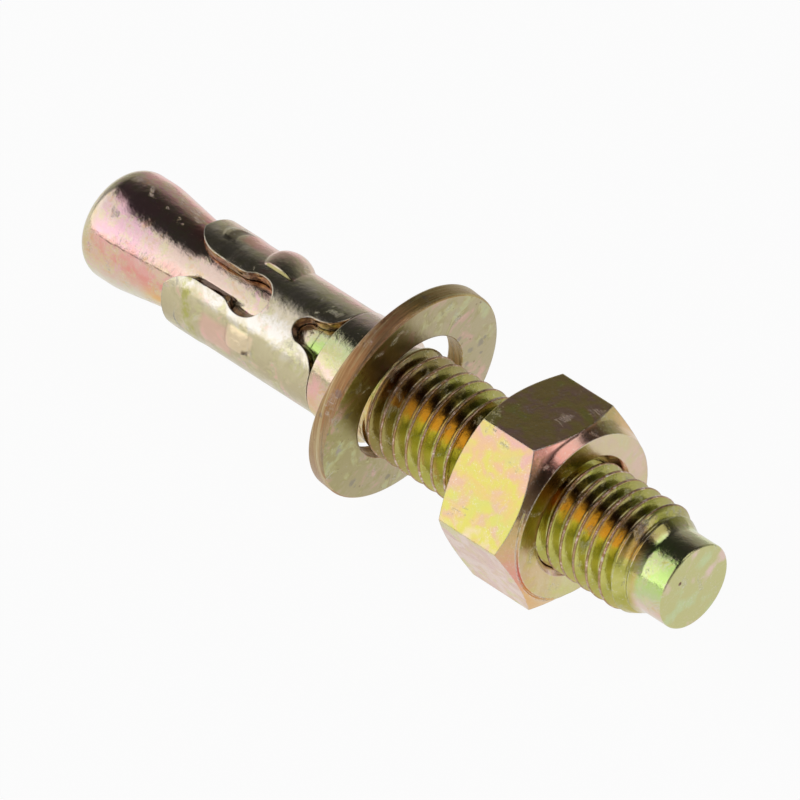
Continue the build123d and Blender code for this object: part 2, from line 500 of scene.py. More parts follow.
class Crazing(SharedGroup):
    """Fine wandering pale lines and specks where the film has crazed."""

    title = "crazing"
    vectors = ("Place",)
    numbers = ("Amount",)

    def draw(self, given: Sockets) -> dict[str, Socket]:
        """Edges of warped random cells, broken up and kept in patches.

        Args:
            given: the place and how much is crazed.

        Returns:
            The mask of the lines.
        """
        place = given["Place"]
        cells = self.cells(place, 1.4, "DISTANCE_TO_EDGE", (1.6, 4.0, 1.6))
        line = self.ramp(cells["Distance"], 0.035, 0.0)
        broken = self.ramp(self.noise(place, 3.0, 3.0, 0.7), 0.46, 0.58)
        keep = self.minus(0.72, self.times(given["Amount"], 0.4))
        patch = self.ramp(self.noise(place, 0.6), keep, self.plus(keep, 0.1))
        return {"Mask": self.times(line, self.times(broken, patch))}


@dataclass(frozen=True)
class SharedGroups:
    """The node groups that every plated finish uses."""

    around: AroundStud
    wear: EdgeWear
    scratches: Scratches
    pits: Pits
    crazing: Crazing


def emptied(owner: bpy.types.Material | bpy.types.World) -> bpy.types.NodeTree:
    """Give the node tree of a material or world, cleared of its usual nodes."""
    owner.use_nodes = True
    owner.node_tree.nodes.clear()
    return owner.node_tree


class Skin(Sketch):
    """A plated material being drawn, which knows where each of its points is on the stud."""

    def __init__(self, title: str, groups: SharedGroups) -> None:
        """Start a material.

        Args:
            title: the material's name.
            groups: the shared node groups.
        """
        self.material = bpy.data.materials.new(title)
        super().__init__(emptied(self.material))
        self.groups = groups
        around = groups.around.place(self)
        self.place, self.along, self.turn = around["Place"], around["Along"], around["Turn"]
        self.radius, self.lathe, self.drawn = around["Radius"], around["Lathe"], around["Drawn"]

    def wavy_turn(self, noise: Socket, reach: float) -> tuple[Socket, Socket]:
        """The turn moved to and fro by noise, and how far it is moved."""
        moved = self.times(self.minus(noise, 0.5), reach)
        return self.math("FRACT", self.plus(self.turn, moved)), moved


@dataclass(frozen=True)
class Zone:
    """A stretch of a finish from a distance along the stud, with its tints by turn about the stud: partly the
    film's own colour, partly painted light that follows where highlights, reflections and shade fall round
    the stud.
    """

    start: float
    films: str
    blend: float = 0.5


@dataclass(frozen=True)
class Plating:
    """Yellow-passivated zinc on steel: a thin film whose tint wanders over bright metal.

    Attributes:
        title: the material's name.
        zones: the film's tints by turn, partly painted highlights, reflections and shade, from the cone end
            to the impact point.
        roughness: the middle of the metal's roughness.
        wander: how far the tints wander, in turns; wander_along is in millimetres for a turn.
        cloud: how much the clouds show; scale and detail shape them, and patches say where in the noise
            they start and are full.
        scratch: how much is scratched; the scales say how fine the lines are, drawn_depth how deep those
            along the stud are, and line_share how bright they show.
        wear_width: how wide the rubbed edges are, in metres; wear is how much they show.
        worn_roughness: what bright metal adds to the roughness.
        rough_spread: how far the roughness varies.
        grit: height of fine grain; wave and lathe do the same for broad waves and marks of turning, all in
            hundredths of a millimetre.
        crazed: how much of the film has crazed.
        clouds: the tints of the clouds.
    """

    title: str
    zones: tuple[Zone, ...]
    roughness: float
    wander: float = 0.06
    wander_along: float = 6.0
    cloud: float = 0.5
    cloud_patches: tuple[float, float] = (0.42, 0.58)
    cloud_scale: float = 0.6
    cloud_detail: float = 6.0
    scratch: float = 0.4
    scratch_scale: float = 1.6
    drawn_scale: float = 1.0
    drawn_depth: float = -1.2
    line_share: float = 0.5
    wear_width: float = 0.00022
    wear: float = 0.7
    worn_roughness: float = 0.1
    rough_spread: float = 0.12
    grit: float = 0.5
    wave: float = 4.0
    lathe: float = 0.8
    crazed: float = 0.4
    clouds: str = "0.28 SALMON, 0.38 GOLD, 0.46 CREAM, 0.54 LEMON, 0.62 PINK, 0.72 ROSE"

    def tinted(self, skin: Skin) -> Socket:
        """Base tint from the zones: the film's colour, partly with painted highlights, reflections and shade
        by turn.

        Args:
            skin: the material being drawn.

        Returns:
            The tint.
        """
        drift = skin.noise(skin.place, 0.4, min(4.0, self.cloud_detail), 0.65, 0.5)
        turn, moved = skin.wavy_turn(drift, self.wander * 2)
        along = skin.math("MULTIPLY_ADD", moved, self.wander_along, skin.along)
        colour = skin.films(turn, self.zones[0].films)
        for zone in self.zones[1:]:
            share = skin.ramp(along, zone.start - zone.blend / 2, zone.start + zone.blend / 2)
            colour = skin.over(colour, skin.films(turn, zone.films), share)
        return colour

    def detail(self, skin: Skin, colour: Socket) -> Socket:
        """Marks that only this finish has; none by default."""
        return colour

    def dents(self, skin: Skin) -> object:
        """Height of dents that only this finish has, in hundredths of a millimetre; none by default."""
        return 0.0

    def matt(self, skin: Skin) -> object:
        """Roughness that only parts of this finish have; none by default."""
        return 0.0

    def build(self, groups: SharedGroups) -> bpy.types.Material:
        """Make the material.

        Args:
            groups: the shared node groups.

        Returns:
            The material.
        """
        skin = Skin(self.title, groups)
        place = skin.place
        film = skin.films(skin.noise(place, self.cloud_scale, self.cloud_detail, 0.66, 0.8), self.clouds)
        patches = skin.noise(place, 0.45, min(5.0, self.cloud_detail), 0.65)
        share = skin.ramp(patches, *self.cloud_patches, 0.0, self.cloud)
        colour = skin.over(self.tinted(skin), film, share)
        colour = self.detail(skin, colour)
        turned, drawn = (
            groups.scratches.place(skin, Stretched=stretched, Place=place, Amount=self.scratch, Scale=scale)
            for stretched, scale in ((skin.lathe, self.scratch_scale), (skin.drawn, self.drawn_scale)))
        wear = groups.wear.place(skin, Place=place, Width=self.wear_width)
        crazing = groups.crazing.place(skin, Place=place, Amount=self.crazed)
        lines = skin.math("MAXIMUM", turned["Mask"], drawn["Mask"])
        lines = skin.math("MAXIMUM", lines, crazing["Mask"])
        bright = skin.math("MAXIMUM", skin.times(lines, self.line_share), skin.times(wear["Wear"], self.wear))
        colour = skin.over(colour, Film.ZINC, bright)
        rough = skin.math("MULTIPLY_ADD", skin.noise(place, 1.3, 4.0), self.rough_spread,
                          self.roughness - self.rough_spread / 2)
        rough = skin.plus(skin.math("MULTIPLY_ADD", bright, self.worn_roughness, rough), self.matt(skin))
        height = skin.times(skin.noise(place, 7.0, 3.0, 0.6), self.grit)
        for form, amount in ((skin.noise(place, 1.2, 4.0, 0.55), self.wave), (turned["Height"], self.lathe),
                             (drawn["Mask"], self.drawn_depth)):
            height = skin.math("MULTIPLY_ADD", form, amount, height)
        height = skin.plus(height, self.dents(skin))
        bump = skin.node("ShaderNodeBump", {
            "Strength": 1.0, "Distance": HUNDREDTH, "Height": height, "Normal": wear["Normal"]})
        shader = skin.node("ShaderNodeBsdfPrincipled", {
            "Metallic": 1.0, "Base Color": colour, "Roughness": rough, "Normal": bump.outputs["Normal"]})
        skin.node("ShaderNodeOutputMaterial", {"Surface": shader.outputs["BSDF"]})
        return skin.material


class StudPlating(Plating):
    """The stud's finish, with coppery thread crests, painted shade and reflections on the thread, a dark line
    of painted horizon reflection on the cone and a nick in the point.
    """

    threaded = (40.6, 41.4, 75.6, 76.4)
    washer_shade = (48.0, 42.0)
    crests = (5.78, 5.88)
    grain = 5.0
    horizon_line = (0.1922, 0.0004, 0.003)
    horizon_line_along = (8.0, 4.2, 0.8)
    end_face = (79.72, 79.8)
    nick = (80.0, -2.2, 1.54)
    nick_reach = 0.3

    def detail(self, skin: Skin, colour: Socket) -> Socket:
        """Rub the thread's crests, paint shade and reflections on the thread and a dark line of reflected
        horizon on the cone, and tint the impact point's face.

        Args:
            skin: the material being drawn.
            colour: the tint so far.

        Returns:
            The tint with those marks.
        """
        along, place = skin.along, skin.place
        thread = self.thread(skin)
        turn, drift = skin.wavy_turn(skin.noise(place, 0.8, 4.0), 0.09)
        # Painted shade and painted reflection on the thread: dark olive and brown towards the top where the
        # ceiling's shade falls, amber a little further round where light bounces between the flanks.
        flank_light_and_shade = skin.films(
            turn, "0 OLIVE, 0.04 OLIVE, 0.07 BROWN, 0.105 AMBER, 0.14 AMBER, 0.16 HONEY, 0.19 MOSS,"
                  "0.24 LEAF, 0.3 MOSS, 0.5 GOLD, 0.7 LEAF, 0.85 OLIVE, 1 MOSS")
        colour = skin.over(colour, flank_light_and_shade, thread, 0.9)
        # Painted shade: the thread is browned towards the washer, where the washer's shade and dark
        # reflection fall.
        colour = skin.over(colour, Film.BROWN, thread, skin.ramp(along, *self.washer_shade, 0.0, 0.6))
        copper = skin.films(skin.noise(place, 1.2, 6.0, 0.7),
                            "0.36 BROWN, 0.46 BRONZE, 0.54 COPPER, 0.62 BLUSH, 0.68 ZINC")
        colour = skin.over(colour, copper, self.crest(skin), 0.9)
        # Painted reflection: a thin broken dark line along the cone where the horizon between the key lamp
        # and the floor reflects.
        horizon_reflection = skin.near(skin.plus(skin.turn, skin.times(drift, 0.1)), *self.horizon_line)
        broken = skin.ramp(skin.noise(place, 1.9), 0.38, 0.6, 0.1, 0.75)
        colour = skin.over(colour, Film.BROWN, horizon_reflection, skin.near(along, *self.horizon_line_along), broken)
        face = skin.films(skin.noise(place, 0.3, 3.0, 0.5), "0.34 BLUSH, 0.44 REED, 0.56 REED, 0.68 SAGE")
        colour = skin.over(colour, face, skin.ramp(along, *self.end_face))
        return skin.over(colour, Film.BROWN, skin.spot(place, self.nick, self.nick_reach))

    def thread(self, skin: Skin) -> Socket:
        """Mask of the threaded stretch."""
        start, full, thinning, end = self.threaded
        return skin.times(skin.ramp(skin.along, start, full), skin.ramp(skin.along, end, thinning))

    def crest(self, skin: Skin) -> Socket:
        """Mask of the thread's rubbed crests."""
        return skin.times(self.thread(skin), skin.ramp(skin.radius, *self.crests))

    def matt(self, skin: Skin) -> object:
        """Duller thread."""
        return skin.times(self.thread(skin), 0.07)

    def dents(self, skin: Skin) -> object:
        """Height of the crests' rough grain, in hundredths of a millimetre."""
        grain = skin.noise(skin.place, 2.5, 5.0, 0.75)
        return skin.times(self.crest(skin), skin.times(grain, self.grain))


class Line(Enum):
    """The line across a finger that a mark follows."""

    STRAIGHT = auto()
    WANDERING = auto()
    ARCHED = auto()


class Finger(Enum):
    """The fingers that have a mark, named after the knob behind them."""

    EACH = auto()
    UPPER = auto()
    LOWER = auto()


@dataclass(frozen=True)
class FingerMark:
    """A soft patch of tint on a finger, which may be painted shade, highlight or reflection.

    Attributes:
        film: its tint.
        share: how much of the tint shows.
        finger: the fingers that have it.
        line: the line across the finger that it follows.
        along: its middle, reach and soft edge along the stud, in millimetres.
        beside: the same round the stud, in degrees.
    """

    film: Film
    share: float
    finger: Finger
    line: Line
    along: tuple[float, float, float]
    beside: tuple[float, float, float]


class ClipPlating(Plating):
    """The clip's finish, with brown cut walls, press marks on the fingers and rosy knobs, and painted shade,
    highlights and reflections on the fingers, the lower knob and the torn walls.
    """

    finger_turn = 98.0
    upper = (0.44, 0.1, 0.02)
    lower = (0.245, 0.06, 0.01)
    press_turn = 6.0
    press_arch = 0.0025
    ridge = (14.1, 14.5, 15.7)
    ridge_height = 12.0
    ridge_beside = (0.0, 11.0, 8.0)
    # Painted reflection of a slight bend across the fingers: its middle, reach and soft edge along the stud.
    bend_sheen = (17.0, 0.3, 0.45)
    bend_sheen_slant = -0.02
    marks = (
        # Painted reflection: a salmon patch past the press mark on the upper finger.
        FingerMark(Film.SALMON, 0.6, Finger.UPPER, Line.WANDERING, (18.4, 0.8, 0.8), (0.0, 8.0, 9.0)),
        # Painted shadow under the press ridge on the upper finger.
        FingerMark(Film.UMBER, 0.62, Finger.UPPER, Line.ARCHED, (15.4, 0.4, 0.3), (0.0, 13.0, 6.0)),
        FingerMark(Film.OLIVE, 0.85, Finger.UPPER, Line.STRAIGHT, (23.0, 1.7, 0.3), (23.4, 1.3, 0.4)),
        FingerMark(Film.ROSE, 0.55, Finger.EACH, Line.WANDERING, (20.9, 1.6, 1.0), (-3.0, 12.0, 8.0)),
        # Painted highlight on the lower knob's pad, which faces the light.
        FingerMark(Film.WHEAT, 0.6, Finger.LOWER, Line.STRAIGHT, (23.3, 1.6, 0.3), (-14.0, 9.0, 3.0)),
        # Painted shade along the pad's edge towards the cone.
        FingerMark(Film.BROWN, 0.15, Finger.LOWER, Line.STRAIGHT, (21.5, 0.05, 0.2), (-14.0, 8.0, 4.0)),
        # Painted shade in the open end of the lower knob's slit.
        FingerMark(Film.UMBER, 0.85, Finger.LOWER, Line.STRAIGHT, (24.4, 0.1, 0.3), (-5.0, 1.0, 4.0)),
    )

    def from_finger(self, skin: Skin) -> Socket:
        """Turn from the middle of the nearest finger, in degrees."""
        share = skin.math("MULTIPLY_ADD", skin.turn, 360.0 / FINGER_STEP,
                          0.5 - self.finger_turn / FINGER_STEP)
        return skin.math("MULTIPLY_ADD", skin.math("FRACT", share), FINGER_STEP, -FINGER_STEP / 2)

    def arched(self, skin: Skin) -> tuple[Socket, Socket]:
        """Place along the stud, bent with the press mark's arch, and turn from the mark's middle."""
        turn = skin.plus(self.from_finger(skin), -self.press_turn)
        return skin.math("MULTIPLY_ADD", skin.times(turn, turn), -self.press_arch, skin.along), turn

    def dents(self, skin: Skin) -> object:
        """Height of the ridge that the press left near each finger's tip, in hundredths of a millimetre."""
        along, turn = self.arched(skin)
        start, top, end = self.ridge
        rim = skin.plus(skin.ramp(along, start, top, 0.0, self.ridge_height),
                        skin.ramp(along, top, end, 0.0, -self.ridge_height))
        return skin.times(rim, skin.near(turn, *self.ridge_beside))

    def detail(self, skin: Skin, colour: Socket) -> Socket:
        """Tint the fingers, the knobs and the cut walls; some marks are painted shade, highlight or
        reflection.

        Args:
            skin: the material being drawn.
            colour: the tint so far.

        Returns:
            The tint with those marks.
        """
        along, place, turn = skin.along, skin.place, self.from_finger(skin)
        drift = skin.math("MULTIPLY_ADD", skin.noise(place, 0.8, 4.0), 1.6, along)
        # The upper finger lies on both sides of the turn's zero, so its turn is taken half a turn on.
        upper = skin.near(skin.math("FRACT", skin.plus(skin.turn, 0.5)), *self.upper)
        lower = skin.near(skin.turn, *self.lower)
        # Painted reflection: a moss-green streak across every finger but the upper one, where a slight bend
        # in the sheet reflects.
        bend_sheen = skin.near(skin.math("MULTIPLY_ADD", turn, self.bend_sheen_slant, drift), *self.bend_sheen)
        patchy = skin.ramp(skin.noise(place, 1.1, 4.0, 0.6), 0.4, 0.62, 0.0, 0.7)
        colour = skin.over(colour, Film.MOSS, bend_sheen, skin.minus(1.0, upper), patchy)
        lines = {Line.STRAIGHT: (along, turn), Line.WANDERING: (drift, turn), Line.ARCHED: self.arched(skin)}
        fingers = {Finger.EACH: (), Finger.UPPER: (upper,), Finger.LOWER: (lower,)}
        for mark in self.marks:
            row, side = lines[mark.line]
            colour = skin.over(colour, mark.film, skin.near(row, *mark.along), skin.near(side, *mark.beside),
                               *fingers[mark.finger], mark.share)
        wall = skin.films(skin.noise(place, 1.8, 4.0, 0.7), "0.4 BROWN, 0.54 BRONZE, 0.66 TAN")
        colour = skin.over(colour, wall, skin.stored("cut_wall"))
        # The torn walls darkened nearly to umber: partly the sheared wall's own brown, partly painted shade
        # of the gap under the finger edges.
        return skin.over(colour, Film.UMBER, skin.stored("torn_wall_shade"), 0.85)


class WasherPlating(Plating):
    """The washer's finish, with a coppery rim and grey pits."""

    grain = 8.0

    def detail(self, skin: Skin, colour: Socket) -> Socket:
        """Colour the rim and dot the faces with pits.

        Args:
            skin: the material being drawn.
            colour: the tint so far.

        Returns:
            The tint with the rim and the pits.
        """
        copper = skin.films(skin.noise(skin.lathe, 0.45, 6.0, 0.72),
                            "0.38 BROWN, 0.45 BRONZE, 0.49 RUST, 0.53 BRONZE, 0.58 TAN, 0.64 STRAW")
        # Tints that change round the rim: olive at the top, copper and bronze, then straw and tan further
        # round.
        rim_tints = skin.films(skin.turn, "0 MOSS, 0.04 COPPER, 0.18 BRONZE, 0.24 STRAW, 0.4 TAN, 0.9 MOSS,"
                                     "1 MOSS")
        colour = skin.over(colour, skin.over(copper, rim_tints, 0.3), skin.stored("rim"), 0.95)
        pits = skin.groups.pits.place(skin, Place=skin.place, Scale=0.7, Size=0.34, Share=0.36)
        colour = skin.over(colour, Film.SLATE, pits["Mask"], 0.42)
        pricks = skin.groups.pits.place(skin, Place=skin.place, Scale=1.7, Size=0.22, Share=0.2)
        return skin.over(colour, Film.BROWN, pricks["Mask"], 0.5)

    def dents(self, skin: Skin) -> object:
        """Height of the rim's rolled grain, in hundredths of a millimetre."""
        grain = skin.noise(skin.lathe, 0.7, 5.0, 0.7)
        return skin.times(skin.stored("rim"), skin.times(grain, self.grain))


class NutPlating(Plating):
    """The nut's finish, with painted highlight and painted shade on the chamfer and bright scuffs where the
    film is gone.
    """

    scuffs = (((57.4, -10.0, 1.67), 1.5), ((62.6, -10.3, 1.2), 1.6), ((58.0, -7.8, 5.48), 1.0),
              ((62.8, -6.6, 7.6), 1.3), ((56.0, -9.0, 4.0), 0.8))

    def detail(self, skin: Skin, colour: Socket) -> Socket:
        """Paint highlight and shade on the chamfer, tint the end ring, and scatter bright specks.

        Args:
            skin: the material being drawn.
            colour: the tint so far.

        Returns:
            The tint with those marks.
        """
        place = skin.place
        turn, _ = skin.wavy_turn(skin.noise(place, 2.2, 5.0, 0.7), 0.07)
        # Painted highlight and shade on the chamfer: shell and salmon near the top where the side lamp
        # reflects, brown a little further round where the ceiling's shade reflects.
        chamfer = skin.films(
            turn, "0 SHELL, 0.075 SALMON, 0.1 COPPER, 0.12 BROWN, 0.17 BROWN, 0.2 TAN, 0.24 PEACH,"
                  "0.3 SALMON, 0.36 ORANGE, 0.6 GOLD, 0.88 PEACH, 0.94 OLIVE, 0.965 BROWN, 0.985 COPPER,"
                  "1 SHELL")
        colour = skin.over(colour, chamfer, skin.stored("chamfer"), 0.9)
        ring = skin.films(skin.turn, "0 STRAW, 0.1 MOSS, 0.2 OLIVE, 0.33 GOLD, 0.45 LEMON, 0.6 STRAW,"
                                     "0.85 CREAM, 0.95 CREAM")
        colour = skin.over(colour, ring, skin.stored("ring"), 0.6)
        flecks = skin.ramp(skin.noise(place, 3.6, 6.0, 0.85), 0.57, 0.64)
        patch = skin.ramp(skin.noise(place, 0.33, 3.0, 0.6), 0.58, 0.68, 0.0, 0.8)
        for middle, reach in self.scuffs:
            patch = skin.math("MAXIMUM", patch, skin.spot(place, middle, reach))
        return skin.over(colour, Film.ZINC, flecks, patch)


STUD_FINISH = StudPlating(
    title="stud_plating",
    zones=(
        # The lime stops near the collar and on the point lie where the key lamp's highlight falls, so their
        # green is a painted reflection tint; the thread's olive at the top is painted shade.
        Zone(0.0, "0 KHAKI, 0.1 CREAM, 0.16 STRAW, 0.23 TAN, 0.3 REED, 0.6 STRAW, 0.8 BLUSH, 1 KHAKI"),
        Zone(2.0, "0 ROSE, 0.1 PINK, 0.17 PINK, 0.19 ROSE, 0.24 SALMON, 0.32 CREAM, 0.6 CREAM, 0.8 SALMON,"
                  "1 ROSE", 2.0),
        Zone(9.5, "0 SALMON, 0.08 BLUSH, 0.15 BLUSH, 0.2 ROSE, 0.25 SALMON, 0.32 ORANGE, 0.6 CREAM,"
                  "0.8 SALMON, 1 SALMON", 3.0),
        Zone(30.2, "0 BLUSH, 0.08 SAGE, 0.12 LIME, 0.17 LIME, 0.22 STRAW, 0.3 GOLD, 0.6 STRAW, 0.8 BLUSH,"
                   "1 BLUSH", 0.8),
        Zone(33.0, "0 BLUSH, 0.09 SAGE, 0.13 REED, 0.16 BLUSH, 0.19 KHAKI, 0.23 ROSE, 0.34 GOLD, 0.6 STRAW,"
                   "0.8 BLUSH, 1 BLUSH", 0.3),
        Zone(36.2, "0 BLUSH, 0.09 SAGE, 0.13 LIME, 0.17 LIME, 0.19 SAGE, 0.21 ROSE, 0.34 GOLD, 0.6 STRAW,"
                   "0.8 BLUSH, 1 BLUSH", 0.6),
        Zone(39.8, "0 OLIVE, 0.2 GOLD, 0.5 KHAKI, 1 OLIVE", 0.8),
        Zone(76.3, "0 STRAW, 0.08 LIME, 0.2 LIME, 0.25 SAGE, 0.3 BLUSH, 0.5 STRAW, 0.75 LIME, 1 STRAW", 0.8),
    ),
    roughness=0.11,
    crazed=0.8,
)

CLIP_FINISH = ClipPlating(
    title="clip_plating",
    # Painted highlight: the zinc-white stops near turn 0.14 to 0.165 lie where the key lamp's band falls on
    # the clip.
    zones=(Zone(0.0, "0 CREAM, 0.11 CREAM, 0.14 ZINC, 0.165 ZINC, 0.2 STRAW, 0.3 KHAKI, 0.55 STRAW,"
                     "0.8 KHAKI, 0.91 ROSE, 0.96 STRAW, 1 CREAM"),),
    roughness=0.19,
    cloud=0.6,
    cloud_scale=0.3,
    cloud_detail=5.0,
    clouds="0.3 SALMON, 0.38 ROSE, 0.46 STRAW, 0.52 KHAKI, 0.58 REED, 0.66 CREAM, 0.74 BLUSH",
)

WASHER_FINISH = WasherPlating(
    title="washer_plating",
    zones=(Zone(0.0, "0 KHAKI, 0.2 OLIVE, 0.5 KHAKI, 0.75 KHAKI, 1 KHAKI"),),
    roughness=0.32,
    cloud=0.55,
    wear_width=0.0004,
    wave=3.0,
    grit=0.4,
    lathe=0.3,
    cloud_scale=0.26,
    cloud_detail=3.5,
    clouds="0.33 ROSE, 0.39 SHELL, 0.44 KHAKI, 0.52 OLIVE, 0.57 REED, 0.63 SAGE, 0.7 LILAC",
)

NUT_FINISH = NutPlating(
    title="nut_plating",
    zones=(Zone(0.0, "0 GOLD, 0.06 GOLD, 0.09 SHELL, 0.13 PEACH, 0.15 HONEY, 0.175 GOLD, 0.2 LEAF,"
                     "0.235 HONEY, 0.265 BLUSH, 0.4 BLUSH, 0.6 YELLOW, 0.8 ROSE, 0.93 GOLD, 1 GOLD"),),
    roughness=0.2,
    cloud=0.72,
    wave=1.2,
    grit=0.15,
    lathe=0.0,
    crazed=0.8,
    cloud_scale=0.18,
    cloud_detail=2.2,
    clouds="0.32 HONEY, 0.4 PEACH, 0.46 SHELL, 0.52 PEACH, 0.58 HONEY, 0.66 LEAF",
)


@dataclass(frozen=True)
class ThreadForm:
    """A rolled helical thread as one sleeve of surface, for the outside of a stud or the inside of a nut."""

    title: str
    start: float
    end: float
    ridge: float
    groove: float
    start_radius: float
    start_ramp: tuple[float, float]
    end_radius: float
    end_ramp: tuple[float, float]
    body_radius: float
    fade: float
    outside: bool
    flat: float = 0.11
    pitch: float = 1.75
    phase: float = 0.63
    rows_in_pitch: int = 18

    SIZES = ("Start", "End", "Pitch", "Phase", "Ridge Radius", "Groove Radius", "Body Radius", "Start Radius",
             "Start Ramp From", "Start Ramp To", "End Radius", "End Ramp From", "End Ramp To", "Fade", "Side")
    FLANK = ((0.84, 0.95), (0.92, 1.0))
    CREST_EDGE = (0.05, 0.035)
    WELD = 0.004

    def values(self) -> dict[str, float]:
        """The tree's inputs by name, in millimetres."""
        return dict(zip(self.SIZES, (
            self.start, self.end, self.pitch, self.phase, self.ridge, self.groove, self.body_radius,
            self.start_radius, *self.start_ramp, self.end_radius, *self.end_ramp, self.fade,
            1.0 if self.outside else -1.0)))

    def tree(self) -> bpy.types.NodeTree:
        """Geometry Nodes tree that makes the sleeve.

        Returns:
            The tree, whose inputs are the sizes and the material.
        """
        sketch = Sketch(bpy.data.node_groups.new(f"{self.title}_thread", "GeometryNodeTree"))
        sketch.own_sockets("INPUT", {"Geometry": "Geometry", **dict.fromkeys(self.SIZES, "Float"),
                                     "Finish": "Material"})
        sketch.own_sockets("OUTPUT", {"Geometry": "Geometry"})
        given = sketch.node("NodeGroupInput").outputs
        start, end, pitch, side = given["Start"], given["End"], given["Pitch"], given["Side"]
        body = given["Body Radius"]
        bands = sketch.plus(sketch.math("CEIL", sketch.math("DIVIDE", sketch.minus(end, start), pitch)), 1.0)
        rows = sketch.math("MULTIPLY_ADD", bands, float(self.rows_in_pitch), 1.0)
        grid = sketch.node("GeometryNodeMeshGrid", {
            "Size X": 1.0, "Size Y": 1.0, "Vertices X": COLUMNS + 1, "Vertices Y": rows})
        across, up, _ = sketch.parts(sketch.node("GeometryNodeInputPosition").outputs[0])
        turn, climb = sketch.plus(across, 0.5), sketch.plus(up, 0.5)
        steps = sketch.plus(sketch.math("MULTIPLY_ADD", climb, bands, -1.0), turn)
        free = sketch.math("MULTIPLY_ADD", steps, pitch, start)
        along = sketch.math("MINIMUM", sketch.math("MAXIMUM", free, start), end)
        phase = sketch.minus(sketch.math("DIVIDE", sketch.minus(along, given["Phase"]), pitch), turn)
        off = sketch.times(sketch.math("PINGPONG", phase, 0.5), 2.0)
        form = sketch.node("ShaderNodeFloatCurve", {"Value": off})
        curve = form.mapping.curves[0]
        edge, sink = self.CREST_EDGE
        for place, height in ((self.flat, 0.0), (self.flat + edge, sink), *self.FLANK):
            curve.points.new(place, height)
        for point in curve.points:
            point.handle_type = "VECTOR"
        form.mapping.update()
        depth = sketch.minus(given["Groove Radius"], given["Ridge Radius"])
        thread = sketch.math("MULTIPLY_ADD", form.outputs[0], depth, given["Ridge Radius"])
        rise = sketch.ramp(along, given["Start Ramp From"], given["Start Ramp To"],
                           given["Start Radius"], body, smooth=False)
        fall = sketch.ramp(along, given["End Ramp From"], given["End Ramp To"],
                           body, given["End Radius"], smooth=False)

        def least(first: Socket, second: Socket) -> Socket:
            """The smaller outside, the larger inside."""
            lower = sketch.math("MINIMUM", sketch.times(first, side), sketch.times(second, side))
            return sketch.times(lower, side)

        envelope = least(rise, fall)
        cut = least(envelope, thread)
        fade = sketch.ramp(along, start, sketch.plus(start, given["Fade"]))
        radius = sketch.math("MULTIPLY_ADD", fade, sketch.minus(cut, envelope), envelope)
        angle = sketch.times(turn, math.tau)
        spot = sketch.joined(along, sketch.times(radius, sketch.math("SINE", angle), -1.0),
                             sketch.times(radius, sketch.math("COSINE", angle)))
        made = sketch.node("GeometryNodeSetPosition", {"Geometry": grid.outputs["Mesh"], "Position": spot})
        for kind, inputs in (("GeometryNodeMergeByDistance", {"Distance": self.WELD}),
                             ("GeometryNodeRealizeInstances", {}),
                             ("GeometryNodeSetMaterial", {"Material": given["Finish"]}),
                             ("NodeGroupOutput", {})):
            made = sketch.node(kind, {"Geometry": made.outputs[0], **inputs})
        return sketch.tree

    def sleeve(self, finish: bpy.types.Material) -> bpy.types.Mesh:
        """Run the tree once and keep its result as a plain mesh.

        Args:
            finish: the material of the sleeve.

        Returns:
            The sleeve's mesh, in millimetres along the stud.
        """
        holder = placed(f"{self.title}_holder", bpy.data.meshes.new("empty"))
        modifier = holder.modifiers.new("thread", "NODES")
        modifier.node_group = self.tree()
        values = {**self.values(), "Finish": finish}
        for item in modifier.node_group.interface.items_tree:
            if item.in_out == "INPUT" and item.name in values:
                modifier[item.identifier] = values[item.name]
        bpy.context.view_layer.update()
        graph = bpy.context.evaluated_depsgraph_get()
        mesh = bpy.data.meshes.new_from_object(holder.evaluated_get(graph))
        bpy.data.objects.remove(holder)
        return mesh


def placed(name: str, data: bpy.types.ID) -> bpy.types.Object:
    """Put a mesh, a lamp or a camera in the scene as an object at the origin."""
    made = bpy.data.objects.new(name, data)
    bpy.context.scene.collection.objects.link(made)
    return made


def fillet_path(corners: Sequence[Corner], step: float) -> list[tuple[float, float]]:
    """A profile of straight runs and round corners.

    Args:
        corners: distance along, radius, and fillet radius of each corner.
        step: angle in degrees between points of a fillet.

    Returns:
        The profile's points.
    """
    points: list[tuple[float, float]] = []
    for index, (along, out, fillet) in enumerate(corners):
        here = Vector((along, out))
        if fillet == 0 or index in (0, len(corners) - 1):
            points.append((along, out))
            continue
        before = (Vector(corners[index - 1][:2]) - here).normalized()
        after = (Vector(corners[index + 1][:2]) - here).normalized()
        half = before.angle(after) / 2
        centre = here + (before + after).normalized() * (fillet / math.sin(half))
        first = here + before * (fillet / math.tan(half)) - centre
        last = here + after * (fillet / math.tan(half)) - centre
        sweep = first.angle_signed(last)
        count = max(2, math.ceil(abs(math.degrees(sweep)) / step))
        for i in range(count + 1):
            turned = Matrix.Rotation(-sweep * i / count, 2) @ first
            points.append(tuple(centre + turned))
    return points


def revolved(mesh: bmesh.types.BMesh, profile: Sequence[tuple[float, float]],
             columns: int = COLUMNS) -> None:
    """Add a surface of revolution about the stud to a mesh in the making.

    Args:
        mesh: takes the surface.
        profile: points of distance along and radius; a radius of zero closes as a pole.
        columns: vertices in a ring.
    """
    rings: list[list[bmesh.types.BMVert]] = []
    for along, out in profile:
        if out < 1e-6:
            rings.append([mesh.verts.new((along, 0.0, 0.0))])
            continue
        angles = (math.tau * i / columns for i in range(columns))
        rings.append([mesh.verts.new((along, -out * math.sin(a), out * math.cos(a))) for a in angles])
    for low, high in zip(rings, rings[1:]):
        for i in range(columns):
            j = (i + 1) % columns
            corners = [low[i % len(low)], low[j % len(low)], high[j % len(high)], high[i % len(high)]]
            mesh.faces.new(dict.fromkeys(corners))


